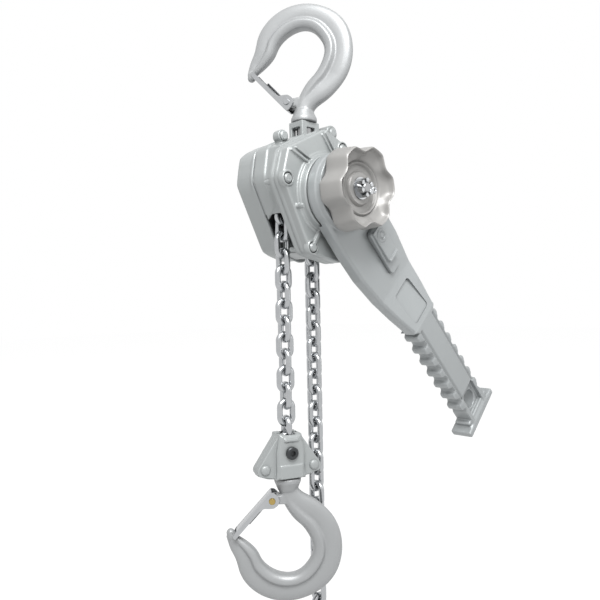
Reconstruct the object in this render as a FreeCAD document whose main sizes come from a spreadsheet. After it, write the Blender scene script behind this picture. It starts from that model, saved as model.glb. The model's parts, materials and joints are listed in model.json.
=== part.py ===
import FreeCAD, Part
import math
import os
import re
import Sketcher
from FreeCAD import Placement, Rotation, Vector

# Chain lever hoist, 1.5 t class, hanging by its top hook. Millimetres, +Z up.
# The origin is the seat of the top hook, where the hoist hangs. The lever and the handwheel face -Y.
# Everything on the drive shaft is drawn in a frame of its own: x to the right, y up, z towards the handwheel.

# Driving sizes, in millimetres, degrees and counts
SIZES = {
    # where the drive shaft lies, seen from the seat of the top hook
    "shaft_x": -16, "shaft_z": -213.5, "casing_tilt": 26.5, "lever_angle": 43.9,
    "running_gap": 0.3, "bore_gap": 0.06,
    # load chain, 7.1 mm wire
    "chain_wire": 7.1, "chain_pitch": 20.2, "chain_width": 23.6, "chain_play": 0.3,
    "load_links": 15, "tail_links": 27, "chain_twist": -22, "sheave_phase": 12.5,
    # hooks
    "shank_dia": 15, "collar_dia": 32.5, "collar_height": 5, "collar_drop": 116, "neck_drop": 99,
    "hook_bowl": 31, "hook_depth": 34, "hook_thick": 24, "top_hook_turn": -63.4, "bottom_hook_turn": -42,
    "hook_lug_wide": 18, "hook_drop": 452,
    # latches
    "latch_sheet": 1.8, "latch_inside": 19, "latch_pin_dia": 5, "latch_pivot_out": 19,
    "latch_pivot_drop": 90,
    "latch_reach": 64, "latch_web_reach": 55,
    "latch_spring_wire": 1.6, "latch_spring_radius": 5.2, "latch_spring_turns": 3,
    "latch_spring_pitch": 2.3,
    # yoke under the top hook
    "yoke_wide": 30, "yoke_deep": 24, "yoke_top": 7.5, "yoke_leg": 4.5, "yoke_window": 14,
    "yoke_pin_drop": 30,
    "yoke_pin_dia": 13, "hook_nut_radius": 9.8, "hook_nut_height": 9,
    # casing outlines, seen along the shaft
    "gear_half": 44, "gear_top": 72, "gear_top_half": 22, "gear_shoulder": 42, "gear_hip": 50,
    "gear_bottom": 78, "gear_bottom_half": 14,
    "brake_half": 57.5, "brake_top": 69.5, "brake_top_half": 34, "brake_shoulder": 44, "brake_hip": 50,
    "brake_bottom": 81, "brake_bottom_half": 17, "corner_round": 7,
    # depths along the shaft, from the middle of the chain
    "gear_back": 60, "gear_bevel": 15, "frame_back": 15, "frame_wall": 13, "frame_wall_thick": 6.5,
    "flange_back": 28, "frame_front": 36, "brake_front": 52, "dome_front": 62, "cover_wall": 4,
    "dome_radius": 45, "neck_bore": 17,
    "cheek_inner": 12.3, "cheek_thick": 3.7, "lug_radius": 9.5, "lug_bolt_dia": 8,
    "lug_left_x": -35, "lug_left_y": 70.5, "left_lug_long": 11, "lug_right_x": 50, "lug_right_y": 88,
    "screw_dia": 6, "screw_head_dia": 11, "screw_across": 51.5, "screw_up": 39, "screw_down": 45,
    # load sheave and its gear train
    "sheave_pockets": 4, "sheave_rim": 33, "sheave_half": 12.6, "journal_dia": 30, "bearing_dia": 38,
    "shaft_dia": 12, "gear_module": 1.4, "pinion_teeth": 12, "wheel_teeth": 36, "gear_plate_thick": 4,
    "load_gear_front": 20, "load_gear_thick": 7, "disc_gear_front": 29, "disc_gear_thick": 6,
    "disc_shaft_dia": 8,
    # brake
    "disc_hub_back": 22, "disc_hub_thick": 8, "disc_hub_radius": 26, "friction_thick": 3,
    "friction_radius": 26.5,
    "ratchet_thick": 7, "ratchet_radius": 31, "ratchet_teeth": 12, "ratchet_depth": 4.5,
    "pawl_reach": 42, "pawl_thick": 6, "pawl_pin_dia": 7,
    "change_flange_thick": 5, "change_neck_radius": 15, "change_teeth": 12, "change_radius": 24,
    # lever
    "lever_back": 57, "lever_front": 76, "lever_head_radius": 46, "lever_rear_cover": 2.5,
    "lever_disc_front": 84,
    "lever_head_back": 65.5, "lever_cavity": 34, "lever_crank": 10, "lever_wall": 4,
    "arm_hip_along": 98, "arm_hip_half": 47.5, "arm_waist_along": 141, "arm_waist_half": 41,
    "arm_neck_along": 175, "arm_neck_half": 36, "panel_half": 20, "panel_start": 151, "panel_long": 52,
    "grip_start": 210, "grip_ribs": 7, "grip_pitch": 23.3, "grip_half": 21, "rib_half": 27.8,
    "rib_long": 14,
    "grip_deep": 25, "grip_tail": 26, "tail_half": 24, "grip_hollow_half": 15, "grip_hollow_long": 147,
    "end_block_half": 42, "end_block_long": 10, "end_block_deep": 32,
    "eye_dia": 26, "eye_recess_half": 17, "eye_recess_long": 47, "eye_recess_deep": 7,
    "selector_x": 6, "selector_y": 80, "selector_radius": 12, "selector_half": 12, "selector_arm": 53,
    "selector_thick": 8,
    # handwheel
    "wheel_back": 85, "wheel_front": 116, "wheel_radius": 47, "wheel_taper": 3, "wheel_lobes": 6,
    "wheel_recess_radius": 31, "wheel_recess_deep": 15, "nut_across": 19, "nut_height": 9,
    "washer_thick": 1.5,
    "wheel_turn": 38, "scallop_radius": 21.6,
    # bottom block
    "block_half": 41, "block_top": 22, "block_top_half": 14, "block_ear_drop": 22,
    "block_bottom_half": 19, "block_ear_thick": 8, "block_core_thick": 15.5, "block_core_half": 18,
    "chain_pin_dia": 9, "rivet_across": 31, "rivet_drop": 18.5, "rivet_dia": 7,
}

doc = FreeCAD.newDocument("lever_hoist")
sheet = doc.addObject("Spreadsheet::Sheet", "sizes")
nodes = []


def fill_sheet():
    """Writes each driving size to a cell with its name beside it."""
    for row, (alias, number) in enumerate(SIZES.items(), start=1):
        sheet.set("A%d" % row, alias)
        sheet.set("B%d" % row, str(number))
        sheet.setAlias("B%d" % row, alias)
    doc.recompute()


def size(alias):
    """A driving size, read from the sheet."""
    return float(sheet.get(alias))


def bind(obj, prop, formula):
    """Ties a property to a formula of the sheet's names."""
    words = re.compile(r"\b[a-z]+(?:_[a-z]+)+\b")
    obj.setExpression(prop, words.sub(lambda found: "sizes." + found.group(0), str(formula)))


# Helpers for parts made of simple solids

def solid(kind, label, place=None, **formulas):
    """A box, cylinder, cone or torus whose sizes are formulas of the sheet."""
    obj = doc.addObject("Part::" + kind, label)
    for prop, formula in formulas.items():
        bind(obj, prop, formula)
    if place is not None:
        obj.Placement = place
    return obj


def rod(label, radius, start, length, x=0.0, y=0.0):
    """A round bar along z, from a start height, at a place in the plane."""
    obj = solid("Cylinder", label, Radius=radius, Height=length)
    bind(obj, "Placement.Base.x", x)
    bind(obj, "Placement.Base.y", y)
    bind(obj, "Placement.Base.z", start)
    return obj


def block(label, low, lengths):
    """A box from its low corner and its three lengths, all formulas."""
    obj = solid("Box", label, Length=lengths[0], Width=lengths[1], Height=lengths[2])
    for axis, formula in zip("xyz", low):
        bind(obj, "Placement.Base." + axis, formula)
    return obj


def union(label, parts):
    """Several solids made one."""
    if len(parts) == 1:
        return parts[0]
    obj = doc.addObject("Part::MultiFuse", label)
    obj.Shapes = parts
    obj.Refine = True
    return obj


def cut(label, base, tools):
    """A solid less the others."""
    obj = doc.addObject("Part::Cut", label)
    obj.Base = base
    obj.Tool = union(label + "_tool", tools)
    return obj


def shaped(label, shape):
    """A solid whose form is drawn by a formula, in the frame it is drawn in."""
    obj = doc.addObject("Part::Feature", label)
    obj.Shape = shape
    return obj


def node(label, obj, place):
    """Names a finished sub-part and puts it where it belongs."""
    doc.recompute()
    for axis in "xyz":
        obj.setExpression("Placement.Base." + axis, None)
    obj.Placement = place.multiply(obj.Placement)
    obj.Label = label
    nodes.append(obj)
    return obj


# Helpers for parts drawn as sketches

def origin_plane(body, role):
    """One of a body's own three planes."""
    return [feature for feature in body.Origin.OriginFeatures if feature.Role == role][0]


def new_body(label):
    """An empty body."""
    return doc.addObject("PartDesign::Body", label)


def sketch_on(body, role, label, height=None):
    """An empty sketch on one of the body's planes, raised by a formula."""
    sketch = body.newObject("Sketcher::SketchObject", label)
    sketch.AttachmentSupport = (origin_plane(body, role), [""])
    sketch.MapMode = "FlatFace"
    if height is not None:
        bind(sketch, "AttachmentOffset.Base.z", height)
    return sketch


def evaluate(formula):
    """A formula's number now, so that a sketch starts in its final form."""
    return float(sheet.evalExpression(str(formula)))


def fix_coordinate(sketch, geometry, axis, formula):
    """Dimensions the start of a line from the origin."""
    number = evaluate(formula)
    if abs(number) < 1e-9:
        sketch.addConstraint(Sketcher.Constraint("PointOnObject", geometry, 1, -2 if axis == "X" else -1))
        return
    index = sketch.addConstraint(Sketcher.Constraint("Distance" + axis, geometry, 1, number))
    bind(sketch, "Constraints[%d]" % index, formula)


def polygon(sketch, points):
    """A closed run of lines, each corner dimensioned from the origin by two formulas."""
    places = [Vector(evaluate(x), evaluate(y), 0) for x, y in points]
    first = None
    for number, place in enumerate(places):
        line = Part.LineSegment(place, places[(number + 1) % len(places)])
        index = sketch.addGeometry(line)
        first = index if first is None else first
    for number in range(len(places)):
        after = first + (number + 1) % len(places)
        sketch.addConstraint(Sketcher.Constraint("Coincident", first + number, 2, after, 1))
    for number, (x, y) in enumerate(points):
        fix_coordinate(sketch, first + number, "X", x)
        fix_coordinate(sketch, first + number, "Y", y)


def circle(sketch, x, y, radius):
    """A circle at two formulas, with its radius a third."""
    centre = Vector(evaluate(x), evaluate(y), 0)
    index = sketch.addGeometry(Part.Circle(centre, Vector(0, 0, 1), evaluate(radius)))
    for axis, formula in (("X", x), ("Y", y)):
        if abs(evaluate(formula)) < 1e-9:
            line = -2 if axis == "X" else -1
            sketch.addConstraint(Sketcher.Constraint("PointOnObject", index, 3, line))
        else:
            row = sketch.addConstraint(Sketcher.Constraint("Distance" + axis, index, 3,
                                                           evaluate(formula)))
            bind(sketch, "Constraints[%d]" % row, formula)
    row = sketch.addConstraint(Sketcher.Constraint("Radius", index, evaluate(radius)))
    bind(sketch, "Constraints[%d]" % row, radius)


def pad(body, sketch, length, label):
    """Thickens a sketch towards the handwheel."""
    feature = body.newObject("PartDesign::Pad", label)
    feature.Profile = sketch
    bind(feature, "Length", length)
    doc.recompute()
    return feature


def pocket(body, sketch, length, label, back=False):
    """Cuts a sketch away from its plane, towards the handwheel or back from it."""
    before = body.Shape.Volume
    feature = body.newObject("PartDesign::Pocket", label)
    feature.Profile = sketch
    feature.Reversed = not back
    bind(feature, "Length", length)
    doc.recompute()
    if body.Shape.Volume > before - 1e-6:
        raise RuntimeError(label + " cuts nothing")
    return feature


def turned(label, profile):
    """A body of revolution about z, from corners given as radius and height formulas."""
    body = new_body(label)
    sketch = sketch_on(body, "XZ_Plane", label + "_profile")
    polygon(sketch, profile)
    feature = body.newObject("PartDesign::Revolution", label + "_turning")
    feature.Profile = sketch
    feature.ReferenceAxis = (sketch, ["V_Axis"])
    feature.Angle = 360
    doc.recompute()
    return body


def repeat_round(body, feature, count, label):
    """Repeats a feature round the shaft."""
    pattern = body.newObject("PartDesign::PolarPattern", label)
    pattern.Originals = [feature]
    pattern.Axis = (origin_axis(body), [""])
    pattern.Angle = 360
    bind(pattern, "Occurrences", count)
    body.Tip = pattern
    doc.recompute()
    return pattern


def origin_axis(body):
    """The body's own z axis."""
    return [feature for feature in body.Origin.OriginFeatures if feature.Role == "Z_Axis"][0]


def round_uprights(body, radius, label):
    """Rounds the edges that run along the shaft and lie on the outline."""
    names = []
    for number, edge in enumerate(body.Shape.Edges, start=1):
        ends = [vertex.Point for vertex in edge.Vertexes]
        if len(ends) == 2 and (ends[0] - ends[1]).Length > 0 and edge.Curve.TypeId == "Part::GeomLine":
            run = ends[1] - ends[0]
            if abs(run.x) < 1e-6 and abs(run.y) < 1e-6:
                names.append("Edge%d" % number)
    base = body.Tip
    feature = body.newObject("PartDesign::Fillet", label)
    feature.Base = (base, names)
    bind(feature, "Radius", radius)
    body.Tip = feature
    doc.recompute()


def round_outline(body, radius, label):
    """Rounds every straight edge that doesn't lie flat across the shaft."""
    names = []
    for number, edge in enumerate(body.Shape.Edges, start=1):
        if edge.Curve.TypeId == "Part::GeomLine" and edge.BoundBox.ZLength > 0.1:
            names.append("Edge%d" % number)
    base = body.Tip
    feature = body.newObject("PartDesign::Fillet", label)
    feature.Base = (base, names)
    bind(feature, "Radius", radius)
    body.Tip = feature
    doc.recompute()


def bevel_rim(body, height, amount, label):
    """Bevels the edges of the face that lies at a height."""
    names = []
    for number, edge in enumerate(body.Shape.Edges, start=1):
        box = edge.BoundBox
        if abs(box.ZMin - height) < 1e-4 and abs(box.ZMax - height) < 1e-4:
            names.append("Edge%d" % number)
    base = body.Tip
    feature = body.newObject("PartDesign::Chamfer", label)
    feature.Base = (base, names)
    bind(feature, "Size", amount)
    body.Tip = feature
    doc.recompute()


# Frames and outlines that several sub-parts share

def shaft_frame(turn=0.0):
    """The drive shaft's own frame, turned about the shaft."""
    base = Vector(size("shaft_x"), 0, size("shaft_z"))
    upright = Placement(base, Rotation(Vector(1, 0, 0), 90))
    return upright.multiply(Placement(Vector(), Rotation(Vector(0, 0, 1), turn)))


def turned_by(angle, x=0.0, y=0.0, z=0.0):
    """A place in the shaft's frame, turned about z."""
    return Placement(Vector(x, y, z), Rotation(Vector(0, 0, 1), angle))


def casing_outline(name, inset="0"):
    """Corners of the gear or brake casing seen along the shaft, drawn in by a wall."""
    right = [
        ("{0}_top_half - 0.4 * ({1})", "{0}_top - ({1})"),
        ("{0}_half - ({1})", "{0}_shoulder - 0.4 * ({1})"),
        ("{0}_half - ({1})", "0.4 * ({1}) - {0}_hip"),
        ("{0}_bottom_half", "({1}) - {0}_bottom"),
    ]
    right = [(x.format(name, inset), y.format(name, inset)) for x, y in right]
    left = [("0 - (%s)" % x, y) for x, y in reversed(right)]
    return right + left


def casing_block(label, name, start, length, inset="0", corner="corner_round"):
    """A slab with the casing's outline."""
    body = new_body(label)
    sketch = sketch_on(body, "XY_Plane", label + "_outline", start)
    polygon(sketch, casing_outline(name, inset))
    pad(body, sketch, length, label + "_pad")
    round_uprights(body, corner, label + "_corners")
    return body


def slab(label, points, start, length):
    """A plate with a polygon outline given by formulas."""
    body = new_body(label)
    sketch = sketch_on(body, "XY_Plane", label + "_outline", start)
    polygon(sketch, points)
    pad(body, sketch, length, label + "_pad")
    return body


def bolt(label, radius, head_radius, start, end, head, x=0.0, y=0.0):
    """A screw with a low domed head towards the handwheel, from formulas."""
    crown = "%s + 0.6 * (%s)" % (end, head)
    body = turned(label, [("0", start), (radius, start), (radius, end), (head_radius, end),
                          (head_radius, crown), ("0.72 * (%s)" % head_radius, "%s + %s" % (end, head)),
                          ("0", "%s + %s" % (end, head))])
    bind(body, "Placement.Base.x", x)
    bind(body, "Placement.Base.y", y)
    return body


LUGS = [("lug_left_x", "lug_left_y"), ("lug_right_x", "lug_right_y")]
CHEEK_BACK = "0 - cheek_inner - cheek_thick"
CHEEK_SPAN = "2 * cheek_inner + 2 * cheek_thick"
LEFT_LUG_BACK = "cheek_inner + cheek_thick - left_lug_long"
LINK_REACH = "(chain_pitch + chain_play + chain_wire) / 2"
LINK_REST = "(chain_pitch - chain_play - chain_wire) / 2"
PIVOT_SQUARE = "(%s)^2 + (%s)^2 + 2 * (%s) * (%s) * cos(180 / sheave_pockets)" % (
    LINK_REACH, LINK_REST, LINK_REACH, LINK_REST)
PIVOT_RADIUS = "sqrt(%s) / sin(180 / sheave_pockets)" % PIVOT_SQUARE
LEAVING = "asin((%s) / (%s)) - (90 / sheave_pockets - sheave_phase) * 1 deg" % (LINK_REACH, PIVOT_RADIUS)
STRAND = "(%s) * cos(%s)" % (PIVOT_RADIUS, LEAVING)
LOAD_START = "0 - (%s) * sin(%s) - (%s)" % (PIVOT_RADIUS, LEAVING, LINK_REST)
TAIL_START = "(%s) * sin(%s) - (%s)" % (PIVOT_RADIUS, LEAVING, LINK_REACH)
FLAT_RADIUS = "sqrt((%s)^2 - (%s)^2)" % (PIVOT_RADIUS, LINK_REACH)
STANDING_RADIUS = "sqrt((%s)^2 - (%s)^2)" % (PIVOT_RADIUS, LINK_REST)
COTTER_HEIGHT = "wheel_front - 6.5"
GEAR_CENTRES = "(pinion_teeth + wheel_teeth) * gear_module / 2"


def screw_places():
    """The four screw places of the casing, as formulas."""
    return [("-screw_across", "screw_up"), ("screw_across", "screw_up"),
            ("screw_across", "-screw_down"), ("-screw_across", "-screw_down")]


def pin_place():
    """Where the yoke's pin crosses the frame, seen from the shaft, as formulas."""
    return "-shaft_x", "0 - shaft_z - collar_drop - yoke_pin_drop"


# Casing

def main_frame():
    """The cast frame: waist, brake flange, cheeks for the yoke's pin and two lugs."""
    tilt = turned_by(size("casing_tilt"))
    pin_x, pin_y = pin_place()
    waist = slab("waist", [
        ("-gear_half", "-gear_hip"), ("-gear_bottom_half", "-gear_bottom"),
        ("gear_bottom_half", "-gear_bottom"),
        ("gear_half", "-gear_hip"), ("gear_half", "gear_shoulder"), ("gear_top_half", "gear_top"),
        ("-gear_top_half", "gear_top"), ("-gear_half", "gear_shoulder")],
        "-frame_back", "flange_back + frame_back")
    flange = casing_block("flange", "brake", "flange_back", "frame_front - flange_back")
    waist.Placement = tilt
    flange.Placement = tilt
    left_x, left_y = LUGS[0]
    right_x, right_y = LUGS[1]
    rear_cheek = slab("rear_cheek", [
        (pin_x + " - yoke_pin_dia", pin_y + " + lug_radius"), (pin_x + " - 2 * yoke_pin_dia", "gear_top"),
        ("0.6 * (%s)" % left_x, "0.55 * gear_top"), ("gear_half", "0.3 * gear_top"),
        (right_x + " + lug_radius * 0.9", right_y + " - 4"), (right_x, right_y + " + lug_radius")],
        CHEEK_BACK, "cheek_thick")
    front_cheek = union("front_cheek", [
        rod("front_cheek_eye", "yoke_pin_dia / 2 + 5", "cheek_inner", "cheek_thick", pin_x, pin_y),
        block("front_cheek_stem", (pin_x + " - yoke_pin_dia / 2 - 5", pin_y + " - 40", "cheek_inner"),
              ("yoke_pin_dia + 10", "40", "cheek_thick"))])
    lugs = [rod("left_lug", "lug_radius - 2", LEFT_LUG_BACK, "left_lug_long", left_x, left_y),
            rod("right_lug", "lug_radius", CHEEK_BACK, CHEEK_SPAN, right_x, right_y)]
    left_web = slab("left_web", [
        (left_x + " - 0.6 * lug_radius", left_y), (left_x + " + 0.6 * lug_radius", left_y),
        (left_x + " + 2 * lug_radius", left_y + " - 2.4 * lug_radius"),
        (left_x, left_y + " - 2.8 * lug_radius")],
        LEFT_LUG_BACK, "left_lug_long - 2")
    right_web = slab("right_web", [
        (right_x + " - 0.8 * lug_radius", right_y), (right_x + " + 0.8 * lug_radius", right_y),
        ("gear_half", "0.35 * gear_top"), ("0.6 * gear_half", "0.8 * gear_top")],
        "-cheek_inner", "2 * cheek_inner")
    casting = union("frame_casting", [waist, flange, rear_cheek, front_cheek, left_web, right_web] + lugs)

    room = "chain_width / 2 + 1.4"
    depth = "frame_back + frame_wall"
    tools = [rod("sheave_cavity", "sheave_rim + 7.5", "-frame_back", depth),
             rod("front_bearing_seat", "bearing_dia / 2", "frame_wall", "frame_wall_thick"),
             rod("brake_well", "friction_radius + 11", "frame_wall + frame_wall_thick", "frame_front")]
    for side, middle in (("left", "0 - " + STRAND), ("right", STRAND)):
        tools.append(block(side + "_chain_way",
                           ("%s - (%s)" % (middle, room), "0 - gear_bottom - 20", "-frame_back"),
                           ("2 * (%s)" % room, "gear_bottom + 20", depth)))
    flange_well = casing_block("flange_well", "brake", "flange_back + 3", "frame_front", "cover_wall + 1")
    gear_seat = casing_block("gear_seat", "gear", "-gear_back", "gear_back - frame_back")
    flange_well.Placement = tilt
    gear_seat.Placement = tilt
    tools += [flange_well, gear_seat]
    tools.append(block("yoke_way", (pin_x + " - yoke_wide / 2 - 8", pin_y + " - yoke_wide / 2 - 1.5",
                                    "-cheek_inner"), ("yoke_wide + 16", "60", "2 * cheek_inner")))
    tools.append(rod("pin_way", "yoke_pin_dia / 2", CHEEK_BACK, CHEEK_SPAN, pin_x, pin_y))
    tools.append(rod("pin_head_way", "yoke_pin_dia / 2 + 2.5", "cheek_inner + cheek_thick",
                     "flange_back - cheek_inner - cheek_thick", pin_x, pin_y))
    for side, (x, y) in zip(("left", "right"), LUGS):
        tools.append(rod(side + "_lug_way", "lug_bolt_dia / 2", CHEEK_BACK + " - 1", CHEEK_SPAN + " + 2",
                         x, y))
    frame = cut("frame_machined", casting, tools)
    posts = []
    for number, (x, y) in enumerate(screw_places()):
        posts.append(rod("screw_post_%d" % number, "screw_head_dia / 2", "flange_back",
                         "frame_front - flange_back", x, y))
    post_group = union("screw_posts", posts)
    holes = []
    for number, (x, y) in enumerate(screw_places()):
        holes.append(rod("screw_way_%d" % number, "screw_dia / 2", "flange_back - 14", "frame_front", x,
                         y))
    hole_group = union("screw_ways", holes)
    post_group.Placement = tilt
    hole_group.Placement = tilt
    whole = cut("frame_drilled", union("frame_with_posts", [frame, post_group]), [hole_group])
    return node("main_frame", whole, shaft_frame())


def gear_plate():
    """The steel side plate behind the sheave, which carries the rear bearing and the gear shafts."""
    plate = casing_block("gear_plate_blank", "gear", "0 - frame_back - gear_plate_thick",
                         "gear_plate_thick",
                         "cover_wall + running_gap", "corner_round - cover_wall")
    start, length = "0 - frame_back - gear_plate_thick", "gear_plate_thick"
    tools = [rod("rear_bearing_seat", "bearing_dia / 2", start, length)]
    for number, sign in enumerate(("", "-")):
        tools.append(rod("gear_shaft_seat_%d" % number, "disc_shaft_dia / 2", start, length, "0",
                         sign + GEAR_CENTRES))
    return node("gear_plate", cut("gear_plate_cut", plate, tools), shaft_frame(size("casing_tilt")))


def gear_cover():
    """The rear shell over the gears, bevelled all round its back."""
    body = new_body("gear_cover")
    straight = "gear_back - gear_bevel"
    low = sketch_on(body, "XY_Plane", "gear_cover_outline", "0 - (%s)" % straight)
    polygon(low, casing_outline("gear"))
    pad(body, low, straight + " - frame_back", "gear_cover_wall")
    foot = sketch_on(body, "XY_Plane", "gear_cover_bevel_start", "0 - (%s)" % straight)
    polygon(foot, casing_outline("gear"))
    back = sketch_on(body, "XY_Plane", "gear_cover_back", "-gear_back")
    polygon(back, casing_outline("gear", "gear_bevel"))
    bevel = body.newObject("PartDesign::AdditiveLoft", "gear_cover_bevel")
    bevel.Profile = foot
    bevel.Sections = [back]
    bevel.Ruled = True
    doc.recompute()
    round_outline(body, "corner_round - 2", "gear_cover_corners")
    well = sketch_on(body, "XY_Plane", "gear_cover_well_outline", "-frame_back")
    polygon(well, casing_outline("gear", "cover_wall"))
    pocket(body, well, straight + " - frame_back", "gear_cover_well", back=True)
    floor = sketch_on(body, "XY_Plane", "gear_cover_floor_outline", "0 - (%s)" % straight)
    polygon(floor, casing_outline("gear", "gear_bevel + cover_wall"))
    pocket(body, floor, "gear_bevel - cover_wall", "gear_cover_floor", back=True)
    holes = sketch_on(body, "XY_Plane", "gear_cover_hole_places", "0 - gear_back + cover_wall")
    circle(holes, "0", "0", "shaft_dia / 2 + 4")
    for x, y in gear_screw_places():
        circle(holes, x, y, "screw_dia / 2")
    pocket(body, holes, "cover_wall + 2", "gear_cover_holes", back=True)
    return node("gear_cover", body, shaft_frame(size("casing_tilt")))


def gear_screw_places():
    """The three nuts on the back of the gear cover."""
    return [("-gear_half * 0.42", "gear_shoulder * 0.62"), ("gear_half * 0.42", "gear_shoulder * 0.62"),
            ("0", "0 - gear_bottom * 0.55")]


def rib(label, start, end, wide, low, high):
    """A straight raised rib between two places of the casing, given as formulas."""
    ends = [Vector(evaluate(x), evaluate(y), 0) for x, y in (start, end)]
    run = ends[1] - ends[0]
    box = solid("Box", label, Length=run.Length, Width=wide, Height=high)
    heading = math.degrees(math.atan2(run.y, run.x))
    side = Vector(run.y, -run.x, 0).normalize() * (evaluate(wide) / 2)
    box.Placement = Placement(ends[0] + side + Vector(0, 0, evaluate(low)),
                              Rotation(Vector(0, 0, 1), heading))
    return box


def brake_cover():
    """The front shell with the dome over the brake."""
    body = casing_block("brake_cover_shell", "brake", "frame_front", "brake_front - frame_front")
    bevel_rim(body, size("brake_front"), "1.6", "brake_cover_edge")
    dome = sketch_on(body, "XY_Plane", "dome_outline", "brake_front - cover_wall")
    circle(dome, "0", "0", "dome_radius")
    pad(body, dome, "dome_front - brake_front + cover_wall", "dome_pad")
    bevel_rim(body, size("dome_front"), "2.5", "dome_edge")
    well = sketch_on(body, "XY_Plane", "brake_well_outline", "frame_front")
    polygon(well, casing_outline("brake", "cover_wall"))
    pocket(body, well, "brake_front - frame_front - cover_wall", "brake_cover_well")
    hollow = sketch_on(body, "XY_Plane", "dome_hollow_outline", "brake_front - cover_wall - 1")
    circle(hollow, "0", "0", "dome_radius - cover_wall")
    pocket(body, hollow, "dome_front - brake_front + 1", "dome_hollow")
    bore = sketch_on(body, "XY_Plane", "dome_bore_outline", "dome_front - cover_wall - 1")
    circle(bore, "0", "0", "neck_bore")
    pocket(body, bore, "cover_wall + 2", "dome_bore")
    low, corner = "brake_front - 1", ("brake_top_half - 2", "brake_top - 3")
    ribs = [rib("rib_top_left", ("2 - brake_top_half", "brake_top - 3"), ("-12", "dome_radius - 4"),
                "3.4", low, "3"),
            rib("rib_top_right", corner, ("37", "dome_radius - 6"), "3.4", low, "3"),
            rib("rib_left", ("3 - brake_half", "8"), ("-dome_radius + 1", "2"), "4", low, "2.4"),
            rib("rib_low_left", ("4 - brake_half", "4 - brake_hip"), ("-30", "-dome_radius + 12"), "5",
                low, "2.4"),
            rib("rib_right", ("brake_half - 3", "8"), ("dome_radius - 1", "2"), "4", low, "2.4")]
    posts = []
    ways = []
    seats = []
    for number, (x, y) in enumerate(screw_places()):
        posts.append(rod("cover_post_%d" % number, "screw_head_dia / 2", "frame_front",
                         "brake_front - frame_front - 1", x, y))
        ways.append(rod("cover_way_%d" % number, "screw_dia / 2", "frame_front", "brake_front", x, y))
        seats.append(rod("cover_seat_%d" % number, "screw_head_dia / 2 + 1.2", "brake_front - 2.4", "8",
                         x, y))
    shell = union("brake_cover_with_posts", [body] + posts + ribs)
    return node("brake_cover", cut("brake_cover_drilled", shell, ways + seats),
                shaft_frame(size("casing_tilt")))


def cover_screws():
    """Four domed screws that hold the brake cover to the frame."""
    screws = [bolt("cover_screw_%d" % number, "screw_dia / 2", "screw_head_dia / 2", "flange_back - 12",
                   "brake_front - 2.4", "5", x, y) for number, (x, y) in enumerate(screw_places())]
    return node("cover_screws", union("cover_screw_set", screws), shaft_frame(size("casing_tilt")))


def gear_screws():
    """Three studs with nuts on the back of the gear cover."""
    studs = []
    for number, (x, y) in enumerate(gear_screw_places()):
        stud = turned("gear_stud_%d" % number, [
            ("0", "0 - gear_back - 6"), ("screw_dia / 2", "0 - gear_back - 6"),
            ("screw_dia / 2", "0 - gear_back - 4.5"),
            ("screw_head_dia / 2", "0 - gear_back - 4.5"), ("screw_head_dia / 2", "-gear_back"),
            ("screw_dia / 2", "-gear_back"), ("screw_dia / 2", "0 - gear_back + cover_wall + 3"),
            ("0", "0 - gear_back + cover_wall + 3")])
        bind(stud, "Placement.Base.x", x)
        bind(stud, "Placement.Base.y", y)
        studs.append(stud)
    return node("gear_cover_nuts", union("gear_stud_set", studs), shaft_frame(size("casing_tilt")))


def lug_bolts():
    """The two stay bolts through the lugs of the frame."""
    bolts = []
    for side, start, (x, y) in zip(("left", "right"), (LEFT_LUG_BACK, CHEEK_BACK), LUGS):
        bolts.append(bolt("lug_bolt_" + side, "lug_bolt_dia / 2", "lug_radius * 0.62", "%s - 2" % start,
                          "cheek_inner + cheek_thick", "3", x, y))
    return node("lug_bolts", union("lug_bolt_set", bolts), shaft_frame())


def ring(label, inner, outer, start, length):
    """A plain turned ring."""
    end = "(%s) + (%s)" % (start, length)
    return turned(label, [(inner, start), (outer, start), (outer, end), (inner, end)])


def bearings():
    """The front and rear bearing rings of the sheave, and the rear bush of the shaft."""
    front = ring("front_bearing_ring", "journal_dia / 2 + bore_gap", "bearing_dia / 2", "frame_wall",
                 "frame_wall_thick")
    rear = ring("rear_bearing_ring", "journal_dia / 2 + bore_gap", "bearing_dia / 2",
                "0 - frame_back - gear_plate_thick",
                "gear_plate_thick + frame_back - sheave_half - running_gap")
    bush = ring("rear_bush_ring", "shaft_dia / 2 + bore_gap", "shaft_dia / 2 + 4",
                "0 - gear_back + cover_wall - 0.5", "9")
    return [node("front_bearing", front, shaft_frame()), node("rear_bearing", rear, shaft_frame()),
            node("rear_bush", bush, shaft_frame())]


# Load sheave and gears

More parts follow.
